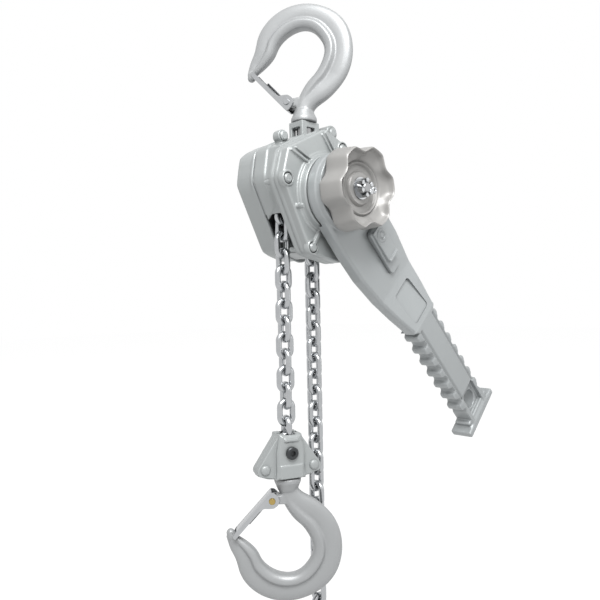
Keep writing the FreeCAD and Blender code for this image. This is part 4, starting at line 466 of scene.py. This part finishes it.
def copy_of(node_name, name, place):
    """A merged copy of a CAD node's mesh in millimetres in the frame that a place stands for."""
    fresh()
    mesh = frame["nodes"][node_name].data.copy()
    piece = bpy.data.objects.new(name, mesh)
    bpy.context.scene.collection.objects.link(piece)
    take(piece)
    piece.matrix_world = place.inverted()
    apply_place()
    edit_all()
    bpy.ops.mesh.remove_doubles(threshold=0.01)
    bpy.ops.object.mode_set(mode="OBJECT")
    return piece


def joined(piece, extras):
    """One mesh of a piece and its details."""
    take(piece)
    for extra in extras:
        extra.select_set(True)
    bpy.ops.object.join()
    return piece


def run_together(piece, grain):
    """Makes one skin of shapes that overlap, in facets of a given size."""
    modify(piece, "REMESH", mode="VOXEL", voxel_size=grain, adaptivity=0.0)


def soften(piece, rounds):
    """Rounds off what is sharper than the facets."""
    modify(piece, "SMOOTH", factor=0.5, iterations=rounds)


def cast(piece, grain, rounds, keep):
    """Runs the shapes of a casting together and rounds its edges, as a mould and shot blasting do."""
    run_together(piece, grain)
    soften(piece, rounds)
    modify(piece, "DECIMATE", ratio=keep)
    return piece


def carve(piece, cutter, operation="DIFFERENCE"):
    """Takes the shape of a cutter out of a piece, or keeps only what lies within it."""
    modify(piece, "BOOLEAN", operation=operation, solver="EXACT", object=cutter)
    bpy.data.objects.remove(cutter)


def moved(piece, test, operator, **settings):
    """Runs an edit-mode operator on the points of a piece that pass a test."""
    take(piece)
    bpy.ops.object.mode_set(mode="EDIT")
    choose(test)
    operator(**settings)
    bpy.ops.object.mode_set(mode="OBJECT")


def mirrored_outline(right):
    """A casing's outline from its right half, from the top down."""
    return right + [(-x, y) for x, y in reversed(right)]


# Operators

class HOIST_OT_stage(bpy.types.Operator):
    """Camera at the photograph's view, pale floor and soft studio light"""
    bl_idname = "hoist.stage"
    bl_label = "Stage"

    def execute(self, context):
        stage = context.scene.hoist_stage
        self.set_camera(context, stage.lens)
        self.lay_floor(context, stage.floor_drop)
        self.light_room(context)
        self.hang_lamp(context, "key light", KEY_PLACE, KEY_WIDTH, stage.key_power)
        self.hang_lamp(context, "fill light", FILL_PLACE, FILL_WIDTH, stage.fill_power)
        context.scene.view_settings.view_transform = "Standard"
        return {"FINISHED"}

    def set_camera(self, context, lens):
        """The camera at its place, level along its way but for its roll."""
        sky = Vector((0, 0, 1))
        forward = Vector(CAMERA_WAY).normalized()
        right = forward.cross(sky)
        roll = math.radians(CAMERA_ROLL)
        up = math.cos(roll) * sky + math.sin(roll) * right
        side = math.cos(roll) * right - math.sin(roll) * sky
        turn = Matrix((side, up, -forward)).transposed()
        bpy.ops.object.camera_add(location=CAMERA_PLACE, rotation=turn.to_euler())
        camera = context.object
        camera.name = "photo_camera"
        camera.data.lens = lens
        camera.data.sensor_width = SENSOR_WIDTH
        context.scene.camera = camera

    def lay_floor(self, context, height):
        """A matt painted floor: it fades into the white room and still shows a soft shadow."""
        bpy.ops.mesh.primitive_plane_add(size=FLOOR_SIZE, location=(*FLOOR_MIDDLE, height))
        floor = context.object
        floor.name = "studio_floor"
        material, tree, output, place = new_material("pale studio floor")
        dust = shade(tree, place, size_mm=400, low=0.84, high=0.88)
        matt = add(tree, "ShaderNodeBsdfDiffuse", {"Color": FLOOR_WHITE, "Roughness": dust.outputs[0]})
        seen = self.seen(tree)
        glow = add(tree, "ShaderNodeEmission", {"Color": (1, 1, 1, 1), "Strength": FLOOR_GLOW})
        share = add(tree, "ShaderNodeMath", {0: seen, 1: GLOW_SHARE}, operation="MULTIPLY")
        both = add(tree, "ShaderNodeMixShader",
                   {"Fac": share.outputs[0], 1: matt.outputs[0], 2: glow.outputs[0]})
        tree.links.new(both.outputs[0], output.inputs["Surface"])
        floor.data.materials.append(material)

    def light_room(self, context):
        """A room that is white where it is seen, with less light for the object."""
        world = bpy.data.worlds.new("white studio")
        world.use_nodes = True
        tree = world.node_tree
        tree.nodes.clear()
        level = add(tree, "ShaderNodeMapRange",
                    {"Value": self.seen(tree), "To Min": ROOM_LIGHT, "To Max": ROOM_SEEN})
        white = add(tree, "ShaderNodeBackground", {"Color": (1, 1, 1, 1), "Strength": level.outputs[0]})
        add(tree, "ShaderNodeOutputWorld", {"Surface": white.outputs[0]})
        context.scene.world = world

    def seen(self, tree):
        """1 for rays from the camera, off a metal or through a glass, else 0."""
        rays = add(tree, "ShaderNodeLightPath")
        mirrored = add(tree, "ShaderNodeMath",
                       {0: rays.outputs["Is Glossy Ray"], 1: rays.outputs["Is Transmission Ray"]},
                       operation="ADD")
        every = add(tree, "ShaderNodeMath", {0: rays.outputs["Is Camera Ray"], 1: mirrored.outputs[0]},
                    operation="ADD", use_clamp=True)
        return every.outputs[0]

    def hang_lamp(self, context, name, place, width, power):
        """A square soft light that looks at the casing."""
        aim = Vector(LAMP_AIM) - Vector(place)
        turn = aim.to_track_quat("-Z", "Y").to_euler()
        bpy.ops.object.light_add(type="AREA", location=place, rotation=turn)
        context.object.name = name
        context.object.data.size = width
        context.object.data.energy = power


class HOIST_OT_finishes(bpy.types.Operator):
    """The finish of every carried-over piece"""
    bl_idname = "hoist.finishes"
    bl_label = "Finishes"

    def execute(self, context):
        made = finishes()
        for slot_name, material in made.items():
            context.scene["finish " + slot_name] = material.name
        for row in frame["record"]["subparts"]:
            piece = frame["nodes"][row["node"]]
            for number in range(len(piece.material_slots)):
                piece.material_slots[number].material = made[row["material_slot"]]
        return {"FINISHED"}


# The casings' outlines on the gear's side and on the brake's, and how round their beads' corners are
GEAR_OUTLINE = mirrored_outline([(22, 72), (44, 42), (44, -50), (14, -78)])
BRAKE_OUTLINE = mirrored_outline([(34, 69.5), (57.5, 44), (57.5, -50), (17, -81)])
BEAD_CORNER = 7
# Share of the outline and height at each step round a bead; the rim's heights start at its own foot
GEAR_BEAD = [(0.95, -20), (1.0, -20), (1.017, -19.2), (1.022, -18.4), (1.022, -16.6), (1.017, -15.6),
             (0.95, -15.4), (0.95, -20)]
PAD_BEAD = [(0.96, -11), (1.024, -11), (1.04, -9.8), (1.04, 6.8), (1.024, 8), (0.96, 8), (0.96, -11)]
RIM_BEAD = [(0.96, 0), (1.0, 0), (1.014, 0.8), (1.018, 1.8), (1.018, 3.8), (1.014, 4.8), (1.0, 5.6),
            (0.96, 5.6), (0.96, 0)]
FLANGE_BEAD_FOOT = 28.4
COVER_BEAD_FOOT = 36.4
# Planes that leave only the pad on the left wall: a place, and the way in which all is cut off
PAD_CUTS = [((-13, 0, 0), (1, 0, 0)), ((-44, 2, 0), (0, -0.77, 0.64))]


class HOIST_OT_gear_cover(bpy.types.Operator):
    """Gear cover with the bead along its open edge"""
    bl_idname = "hoist.gear_cover"
    bl_label = "Gear cover"

    def execute(self, context):
        place = to_shaft(CASING_TILT)
        bead = hoop("gear_cover_bead", GEAR_OUTLINE, GEAR_BEAD)
        piece = copy_of("gear_cover", "gear_cover_casting", place)
        run_together(piece, grain=1.0)
        carve(piece, outlined("rounded_corners", GEAR_OUTLINE, -70, 0, corner=13), "INTERSECT")
        cast(joined(piece, [bead]), grain=1.1, rounds=12, keep=0.5)
        set_down(piece, place)
        finished(piece, "hoist", "paint", "gear_cover", angle=60)
        return {"FINISHED"}


class HOIST_OT_frame(bpy.types.Operator):
    """Frame with the bead of its flange and the raised pad on its left wall"""
    bl_idname = "hoist.frame"
    bl_label = "Frame"

    def execute(self, context):
        place = to_shaft(CASING_TILT)
        bead = rim_bead("flange_bead", FLANGE_BEAD_FOOT)
        pad = hoop("frame_pad", GEAR_OUTLINE, PAD_BEAD)
        for point, way in PAD_CUTS:
            take(pad)
            edit_all()
            bpy.ops.mesh.bisect(plane_co=point, plane_no=way, use_fill=True, clear_outer=True)
            bpy.ops.object.mode_set(mode="OBJECT")
        piece = joined(copy_of("main_frame", "frame_casting", place), [bead, pad])
        cast(piece, grain=0.9, rounds=4, keep=0.4)
        set_down(piece, place)
        finished(piece, "hoist", "paint", "main_frame", angle=60)
        return {"FINISHED"}


class HOIST_OT_yoke(bpy.types.Operator):
    """Yoke with the soft edges of a forging"""
    bl_idname = "hoist.yoke"
    bl_label = "Yoke"

    def execute(self, context):
        place = Matrix.Scale(MM, 4)
        piece = cast(copy_of("top_yoke", "yoke_forging", place), grain=0.6, rounds=5, keep=0.5)
        set_down(piece, place)
        finished(piece, "yoke", "paint", "top_yoke", angle=60)
        return {"FINISHED"}


# The chain pin's place in millimetres, and the block's turn on the chain in degrees
CHAIN_PIN = (-40.9, 0, -517.772)
BLOCK_TWIST = -22
# One ear of the bottom block, from the top corner round the rivet to the foot
BLOCK_EAR = [(-13.4, 21.5), (-40.4, -17.6), (-41, -22), (-38, -26), (-21, -30), (-13.4, -29)]
# The block's halves with the heights of their ears
BLOCK_HALVES = [("front", 0.2, 9.6), ("back", -9.6, -0.2)]
# Radius and height at each step of a domed rivet, and where the rivets sit in the ears
RIVET = [(1.5, -12.8), (4.2, -12.3), (5.6, -11.2), (6.2, -9.7), (3.5, -9.7), (3.5, 9.7), (6.2, 9.7),
         (5.6, 11.2), (4.2, 12.3), (1.5, 12.8)]
RIVET_PLACES = [(-31, -18.5), (31, -18.5)]


class HOIST_OT_block(bpy.types.Operator):
    """Bottom block: raised core, thick triangular ears, a lip under the chain, a pad, and domed rivets"""
    bl_idname = "hoist.block"
    bl_label = "Bottom block"

    def execute(self, context):
        place = (Matrix.Scale(MM, 4) @ Matrix.Translation(CHAIN_PIN)
                 @ Matrix.Rotation(math.pi / 2, 4, "X")
                 @ Matrix.Rotation(math.radians(BLOCK_TWIST), 4, "Y"))
        for side, low, high in BLOCK_HALVES:
            details = [outlined("block_ear", [(sign * x, y) for x, y in BLOCK_EAR], low, high, corner=1.5)
                       for sign in (1, -1)]
            if side == "front":
                details.append(bar("block_lip", (-9.5, 13, 14), (9.5, 17.5, 17.6), bevel=1.5))
                details.append(bar("block_pad", (-14.5, -30.5, 14), (14.5, -14, 16.8), bevel=1.2))
            piece = joined(copy_of("bottom_block_" + side, "block_" + side + "_casting", place), details)
            cast(piece, grain=0.6, rounds=5, keep=0.5)
            set_down(piece, place)
            finished(piece, "block", "paint", "bottom_block_" + side, angle=60)
        rivets = [turned("block_rivets_domed", RIVET, sides=40, centre=spot) for spot in RIVET_PLACES]
        piece = joined(rivets[0], rivets[1:])
        set_down(piece, place)
        finished(piece, "block", "paint", "block_rivets", angle=35)
        return {"FINISHED"}


# The cover's ribs: start at its rim, end under the dome, and width; and the heights of their foot, of
# their top at the rim and of their top at the dome
COVER_GUSSETS = [((-31, 65.5), (-12, 41), 3.2), ((-24.5, 66), (-6.5, 42.5), 2.4),
                 ((31.5, 65.5), (36.5, 30), 3.2), ((24.5, 66), (30, 33), 2.4),
                 ((-54.5, 8), (-41, 1), 4), ((-53, -45), (-30, -30), 4.6), ((54.5, 8), (41, 1), 4)]
GUSSET_FOOT = 50.5
GUSSET_LOW = 54.0
GUSSET_HIGH = 56.2
# Radius and height at each step of the ring round the dome's foot and of the ring round a screw
DOME_FOOT = [(42.5, 50), (49.8, 50), (49.8, 53.0), (48.6, 53.4), (47.6, 53.4), (46.8, 54.2), (46.2, 56.4),
             (45.8, 60.0), (45.0, 61.6), (42.5, 61.6), (42.5, 50)]
SCREW_SEAT = [(6.5, 46), (6.5, 52.6), (7.4, 53.7), (8.6, 53.0), (9.2, 50), (9.4, 46), (6.5, 46)]
SCREW_PLACES = [(-51.5, 39), (51.5, 39), (51.5, -45), (-51.5, -45)]


class HOIST_OT_brake_cover(bpy.types.Operator):
    """Brake cover with its dome, the ring round the dome's foot and its ribs"""
    bl_idname = "hoist.brake_cover"
    bl_label = "Brake cover"

    def execute(self, context):
        place = to_shaft(CASING_TILT)
        details = [rim_bead("cover_bead", COVER_BEAD_FOOT), turned("dome_foot", DOME_FOOT)]
        for number, (start, end, width) in enumerate(COVER_GUSSETS):
            details.append(gusset("cover_gusset_%d" % number, start, end, width))
        details += [turned("screw_seat", SCREW_SEAT, sides=48, centre=spot) for spot in SCREW_PLACES]
        piece = joined(copy_of("brake_cover", "brake_cover_casting", place), details)
        cast(piece, grain=0.7, rounds=3, keep=0.35)
        set_down(piece, place)
        finished(piece, "hoist", "paint", "brake_cover", angle=60)
        return {"FINISHED"}


# The lever's recessed panel: its corner, its slope with the arm in degrees, its length, and by how many
# degrees and millimetres its floor lies lower than the arm
PANEL_CORNER = (-20, -203, 81.99)
PANEL_SLOPE = -8.25
PANEL_END = 51
PANEL_DIP = -2.7
PANEL_FLOOR = -0.4


class HOIST_OT_lever(bpy.types.Operator):
    """Lever with its cranked arm, ribbed grip and end flange"""
    bl_idname = "hoist.lever"
    bl_label = "Lever"

    def execute(self, context):
        place = to_shaft(LEVER_ANGLE)
        panel = Matrix.Translation(PANEL_CORNER) @ Matrix.Rotation(math.radians(PANEL_SLOPE), 4, "X")
        fill = bar("panel_fill", (-1, -1, -0.5), (41, 53, 3), bevel=0.1)
        fill.matrix_world = panel @ fill.matrix_world
        ledge = bar("flange_ledge", (-31, -398, 60), (31, -391.5, 84.5), bevel=2.0)
        piece = joined(copy_of("lever_body", "lever_casting", place), [fill, ledge])
        run_together(piece, grain=0.9)
        self.shape_grip(piece)
        soften(piece, rounds=4)
        modify(piece, "DECIMATE", ratio=0.4)
        cutter = plate("panel_cutter", (1, 1, 0), (39, PANEL_END, 9), corner=5)
        cutter.matrix_world = (panel @ Matrix.Translation((0, PANEL_END, PANEL_FLOOR))
                               @ Matrix.Rotation(math.radians(PANEL_DIP), 4, "X")
                               @ Matrix.Translation((0, -PANEL_END, 0)))
        apply_place()
        carve(piece, cutter)
        set_down(piece, place)
        finished(piece, "lever", "lever_paint", "lever_body", angle=45)
        return {"FINISHED"}

    def shape_grip(self, piece):
        """Two grooves beside the grip's front plate, rounded knobs outside them, and a softer flange."""
        slide, smooth = bpy.ops.transform.translate, bpy.ops.mesh.vertices_smooth
        # Grooves
        moved(piece, lambda p: 16.2 < abs(p.co.x) < 18.6 and p.co.z > 85 and -354 < p.co.y < -215,
              slide, value=(0, 0, -2.6))
        # Knobs' outer edges, then the knobs as a whole
        moved(piece, lambda p: abs(p.co.x) > 24.5 and p.co.z > 84.5 and -374 < p.co.y < -216,
              slide, value=(0, 0, -2.2))
        moved(piece, lambda p: abs(p.co.x) > 18.6 and -376 < p.co.y < -215, smooth, factor=0.5, repeat=9)
        # End flange
        moved(piece, lambda p: p.co.y < -396, smooth, factor=0.5, repeat=14)


# Name, body, latch's body, and the hook's place with its turn in degrees
HOOKS = [
    ("top", "hanger", "top_gate", Matrix.Rotation(math.radians(-63.4), 4, "Z")),
    ("bottom", "lower_hook", "bottom_gate", Matrix.Translation((-40.9, 0, -665.5))
     @ Matrix.Rotation(math.radians(-42), 4, "Z") @ Matrix.Rotation(math.pi, 4, "X")),
]
# Centre across and up, and width, at each step along the hook's bow, in the hook's own frame
HOOK_PATH = [(-72.5, -49, 7), (-66, -41.5, 16), (-58, -32, 23), (-50, -20, 28.5), (-43.5, -5, 32),
             (-26, 10.5, 34), (-1, 16.5, 33), (25.5, 8, 34), (44, -15, 36), (46, -39, 36), (35, -62.5, 36),
             (21, -76, 34), (8, -88, 27), (2, -98, 23)]
PARTS_PER_STEP = 12
# Place across the bow, from its back at -1 to the bowl at 1, and the share of the thickness left there
HOOK_WEB = [(-1.0, 0.80), (-0.6, 0.72), (-0.1, 0.62), (0.1, 0.56), (0.18, 0.62), (0.32, 0.94), (0.42, 1.0),
            (1.0, 1.0)]
# Steps over which the web fades in behind the point and out before the collar, and the step where it ends
WEB_FADE_IN = 1.6
WEB_FADE_OUT = 3.0
WEB_END = 12.8
# Centre and radius of the balls that make the point blunt
HOOK_POINT = [((-68.6, 0, -46.5), 6.0), ((-69.6, 0, -51.0), 5.2)]


class HOIST_OT_hooks(bpy.types.Operator):
    """Forged hooks: a thick round bead along the bowl, a thin web behind it and a blunt point"""
    bl_idname = "hoist.hooks"
    bl_label = "Hooks"

    def execute(self, context):
        for name, body, _, place in HOOKS:
            world = Matrix.Scale(MM, 4) @ place
            piece = joined(copy_of(name + "_hook", name + "_hook_forging", world), self.point())
            run_together(piece, grain=0.9)
            soften(piece, rounds=4)
            self.thin_the_web(piece)
            soften(piece, rounds=6)
            modify(piece, "DECIMATE", ratio=0.5)
            set_down(piece, world)
            finished(piece, body, "hook_paint", name + "_hook", angle=60)
        return {"FINISHED"}

    def point(self):
        """Two balls that make the hook's point blunt."""
        balls = []
        for centre, radius in HOOK_POINT:
            bpy.ops.mesh.primitive_uv_sphere_add(segments=32, ring_count=16, radius=radius, location=centre)
            balls.append(bpy.context.object)
        return balls

    def smooth_path(self):
        """The bow's centre line as close points: the step of each, and its place across, up and width."""
        path = []
        for number in range(len(HOOK_PATH) - 1):
            near, start, end, far = (Vector(HOOK_PATH[min(max(number + step, 0), len(HOOK_PATH) - 1)])
                                     for step in (-1, 0, 1, 2))
            for part in range(PARTS_PER_STEP):
                t = part / PARTS_PER_STEP
                spot = 0.5 * (2 * start + (end - near) * t + (2 * near - 5 * start + 4 * end - far) * t ** 2
                              + (3 * start - near - 3 * end + far) * t ** 3)
                path.append((number + t, spot))
        return path

    def thin_the_web(self, piece):
        """Scales the thickness of the web, in fine steps from the bead outwards."""
        path = self.smooth_path()
        tree = KDTree(len(path))
        for number, (_, spot) in enumerate(path):
            tree.insert((spot.x, 0, spot.y), number)
        tree.balance()
        levels = [self.level(path, tree, point.co) for point in piece.data.vertices]
        take(piece)
        bpy.ops.object.mode_set(mode="EDIT")
        for level in range(1, max(levels) + 1):
            choose(lambda point: levels[point.index] == level)
            bpy.ops.transform.resize(value=(1, 1 - 0.01 * level, 1), center_override=(0, 0, 0))
        bpy.ops.object.mode_set(mode="OBJECT")

    def level(self, path, tree, point):
        """By how many hundredths the forging is thinned at a point."""
        nearest = tree.find((point.x, 0, point.z))[1]
        before, after = path[max(nearest - 1, 0)][1], path[min(nearest + 1, len(path) - 1)][1]
        run_x, run_z = after.x - before.x, after.y - before.y
        along, spot = path[nearest]
        inward = ((point.x - spot.x) * run_z - (point.z - spot.y) * run_x) / math.hypot(run_x, run_z)
        across = min(max(inward / (spot.z / 2), -1.0), 1.0)
        for (low, low_share), (high, high_share) in zip(HOOK_WEB, HOOK_WEB[1:]):
            if low <= across <= high:
                share = low_share + (high_share - low_share) * (across - low) / (high - low)
        fade_in = min(max(along / WEB_FADE_IN, 0.0), 1.0)
        fade_out = min(max((WEB_END - along) / WEB_FADE_OUT, 0.0), 1.0)
        return round((1 - share) * fade_in * fade_out * 100)


# The latch's pin in the hook's own frame, and the angle at which the latch is shut
LATCH_PIN = (-19, 0, -90)
LATCH_SHUT = 133
# The latch's side in its own frame: x from the pin to the hook's point, y away from the bowl
LATCH_SIDE = [(63, 2.5), (63, 6.4), (57.5, 8), (-6, 8), (-8.6, 4.5), (-8.8, -1), (-6.5, -6), (-1, -8.6),
              (5, -7.4), (9, -3.5), (13, 1.4), (20, 2.8)]
# How thick its sheet is, and where its two sides start across
LATCH_SHEET = 1.8
LATCH_SIDES = (-11.3, 9.5)


class HOIST_OT_latches(bpy.types.Operator):
    """Pressed latches: a web with two sides, ears round the pin and the spring's leg behind the web"""
    bl_idname = "hoist.latches"
    bl_label = "Latches"

    def execute(self, context):
        pin = Matrix.Translation(LATCH_PIN) @ Matrix.Rotation(math.pi / 2, 4, "X")
        shut = Matrix.Rotation(math.radians(LATCH_SHUT), 4, "Z")
        for name, _, body, place in HOOKS:
            world = Matrix.Scale(MM, 4) @ place @ pin @ shut
            sides = [outlined("latch_side", LATCH_SIDE, low, low + LATCH_SHEET, corner=1.2)
                     for low in LATCH_SIDES]
            web = bar("latch_web", (-6, 6.2, -9.7), (56, 8, 9.7), bevel=0.5)
            piece = joined(sides[0], [sides[1], web])
            piece.name = name + "_latch_pressing"
            set_down(piece, world)
            finished(piece, body, "zinc", name + "_latch")
            leg = bar(name + "_latch_spring_leg", (6, -0.4, -1.2), (41, 2.2, 1.2), bevel=0.8)
            set_down(leg, world)
            finished(leg, body, "black_steel")
        return {"FINISHED"}


# Radius and height at each step of the change-over lever's boss, of the cap in it and of its stem, and
# where they stand
SELECTOR_BOSS = [(5.2, 82), (8.4, 82), (8.4, 87.2), (7.6, 87.8), (6.2, 87.8), (5.2, 87.0), (5.2, 82)]
SELECTOR_CAP = [(3.8, 82), (3.8, 86.8), (2.8, 87.6)]
SELECTOR_STEM = [(4, 66.1), (4, 78)]
BOSS_CENTRE = (8, -74)
STEM_CENTRE = (6, -80)


class HOIST_OT_selector(bpy.types.Operator):
    """Change-over lever: a straight thumb bar with a boss, a ridge and a lower, rounded end"""
    bl_idname = "hoist.selector"
    bl_label = "Change-over lever"

    def execute(self, context):
        upper = plate("selector_casting", (-2.5, -63, 76.4), (18.5, -108, 86.4), corner=1.0, edge=0.9)
        foot = plate("selector_foot", (-4, -62, 76.4), (19, -127, 82.4), corner=4.5, edge=0.9)
        moved(foot, lambda point: point.co.z > 79 and point.co.y < -118, bpy.ops.transform.translate,
              value=(0, 0, -1.6))
        ridge = plate("selector_ridge", (-2.5, -105, 80), (18.5, -108.6, 88.6), corner=0.6, edge=1.2)
        boss = turned("selector_boss", SELECTOR_BOSS, sides=48, centre=BOSS_CENTRE)
        cap = turned("selector_cap", SELECTOR_CAP, sides=32, centre=BOSS_CENTRE)
        stem = turned("selector_stem", SELECTOR_STEM, sides=48, centre=STEM_CENTRE)
        piece = joined(upper, [foot, ridge, boss, cap, stem])
        cast(piece, grain=0.5, rounds=3, keep=0.5)
        set_down(piece, to_shaft(LEVER_ANGLE))
        finished(piece, "change_lever", "lever_paint", "selector", angle=50)
        return {"FINISHED"}


WHEEL_LOBES = 6
WHEEL_SIDES = 144
# The hollows between the lobes: their share of the radius, half their width in degrees, and how much
# narrower than a cosine they are
HOLLOW_DEPTH = 0.149
HOLLOW_REACH = 19
HOLLOW_POWER = 1.2
# Radius, height and share of the lobes at each step round the handwheel's section
WHEEL_SECTION = [
    (6.2, 85, 0), (30, 85, 0), (46.5, 85, 0.75), (49.0, 86.2, 1), (49.6, 88.5, 1), (48.6, 100, 1),
    (47.7, 110, 1), (47.3, 113.6, 1), (46.6, 115.3, 1), (45.8, 115.9, 1), (45.0, 115.4, 1),
    (44.3, 113.8, 1), (43.2, 110.6, 1), (41.8, 108.6, 1), (38.0, 106.2, 0.75), (34.0, 104.4, 0.25),
    (32.4, 104.0, 0), (31.6, 102.4, 0), (30.8, 102.0, 0), (30.0, 103.2, 0), (28.9, 103.9, 0),
    (27.8, 103.2, 0), (27.0, 100.6, 0), (26.0, 99.6, 0), (20.0, 99.6, 0), (18.8, 101.8, 0),
    (17.8, 103.0, 0), (6.2, 103, 0), (6.2, 85, 0)]


class HOIST_OT_handwheel(bpy.types.Operator):
    """Handwheel: a fluted cup with a stepped recess round the nut"""
    bl_idname = "hoist.handwheel"
    bl_label = "Handwheel"

    def execute(self, context):
        fresh()
        radius, height, _ = WHEEL_SECTION[0]
        bpy.ops.mesh.primitive_circle_add(vertices=WHEEL_SIDES, radius=radius, location=(0, 0, height))
        piece = context.object
        piece.name = "handwheel_casting"
        bpy.ops.object.transform_apply(location=True)
        edit_all()
        for last, new in zip(WHEEL_SECTION, WHEEL_SECTION[1:]):
            self.carry_on(piece, last, new)
        bpy.ops.mesh.select_all(action="SELECT")
        bpy.ops.mesh.remove_doubles(threshold=0.001)
        bpy.ops.object.mode_set(mode="OBJECT")
        set_down(piece, to_shaft(WHEEL_TURN))
        finished(piece, "drive", "wheel_paint", "handwheel", angle=50)
        return {"FINISHED"}

    def reach(self, angle, radius, share):
        """The radius at an angle from the middle of a hollow: full on a lobe, less in the hollow."""
        spread = min(abs(angle) / math.radians(HOLLOW_REACH), 1.0)
        wave = max(math.cos(spread * math.pi / 2), 0.0) ** HOLLOW_POWER
        return radius * (1 - HOLLOW_DEPTH * share * wave)

    def carry_on(self, piece, last, new):
        """Extrudes the open ring to the next step, each spoke of the ring scaled to its own reach."""
        bpy.ops.mesh.extrude_region_move(TRANSFORM_OT_translate={"value": (0, 0, new[1] - last[1])})
        loop = [point.index for point in bmesh.from_edit_mesh(piece.data).verts if point.select]
        per_lobe = WHEEL_SIDES // WHEEL_LOBES
        for group in range(per_lobe // 2 + 1):
            shape = bmesh.from_edit_mesh(piece.data)
            shape.verts.ensure_lookup_table()
            bpy.ops.mesh.select_all(action="DESELECT")
            for index in loop:
                point = shape.verts[index]
                spoke = round(math.atan2(point.co.y, point.co.x) * WHEEL_SIDES / math.tau) % per_lobe
                point.select_set(min(spoke, per_lobe - spoke) == group)
            bmesh.update_edit_mesh(piece.data)
            angle = group * math.tau / WHEEL_SIDES
            ratio = self.reach(angle, new[0], new[2]) / self.reach(angle, last[0], last[2])
            bpy.ops.transform.resize(value=(ratio, ratio, 1), center_override=(0, 0, new[1]))
        shape = bmesh.from_edit_mesh(piece.data)
        shape.verts.ensure_lookup_table()
        for index in loop:
            shape.verts[index].select_set(True)
        shape.select_flush_mode()
        bmesh.update_edit_mesh(piece.data)


class HOIST_OT_nut(bpy.types.Operator):
    """Castle nut and split pin, turned on so that the pin's eye comes to the right"""
    bl_idname = "hoist.nut"
    bl_label = "Castle nut"

    def execute(self, context):
        place = to_shaft(0)
        for node_name in ("castle_nut", "cotter_pin"):
            piece = copy_of(node_name, node_name + "_turned", place)
            moved(piece, lambda point: True, bpy.ops.transform.rotate, value=math.radians(NUT_TURN),
                  orient_axis="Z", center_override=(0, 0, 0))
            set_down(piece, place)
            finished(piece, "drive", "zinc", node_name, angle=35)
        return {"FINISHED"}


class HOIST_PT_panel(bpy.types.Panel):
    """The hoist's sizes, colours and steps"""
    bl_label = "Lever hoist"
    bl_idname = "HOIST_PT_panel"
    bl_space_type = "VIEW_3D"
    bl_region_type = "UI"
    bl_category = "Lever hoist"

    def draw(self, context):
        for group in (context.scene.hoist_finish, context.scene.hoist_stage):
            for name in group.__annotations__:
                self.layout.prop(group, name)
        for step in STEPS:
            self.layout.operator(step.bl_idname)


GROUPS = {"hoist_finish": HoistFinish, "hoist_stage": HoistStage}
STEPS = (HOIST_OT_stage, HOIST_OT_finishes, HOIST_OT_gear_cover, HOIST_OT_frame, HOIST_OT_yoke,
         HOIST_OT_block, HOIST_OT_hooks, HOIST_OT_latches, HOIST_OT_brake_cover, HOIST_OT_lever,
         HOIST_OT_selector, HOIST_OT_handwheel, HOIST_OT_nut)


def register():
    for name, group in GROUPS.items():
        bpy.utils.register_class(group)
        setattr(bpy.types.Scene, name, bpy.props.PointerProperty(type=group))
    for step in STEPS:
        bpy.utils.register_class(step)
    bpy.utils.register_class(HOIST_PT_panel)


def unregister():
    bpy.utils.unregister_class(HOIST_PT_panel)
    for step in reversed(STEPS):
        bpy.utils.unregister_class(step)
    for name, group in GROUPS.items():
        delattr(bpy.types.Scene, name)
        bpy.utils.unregister_class(group)


def main():
    register()
    for step in STEPS:
        bpy.ops.object.select_all(action="DESELECT")
        group, name = step.bl_idname.split(".")
        getattr(getattr(bpy.ops, group), name)()


if __name__ == "__main__":
    main()
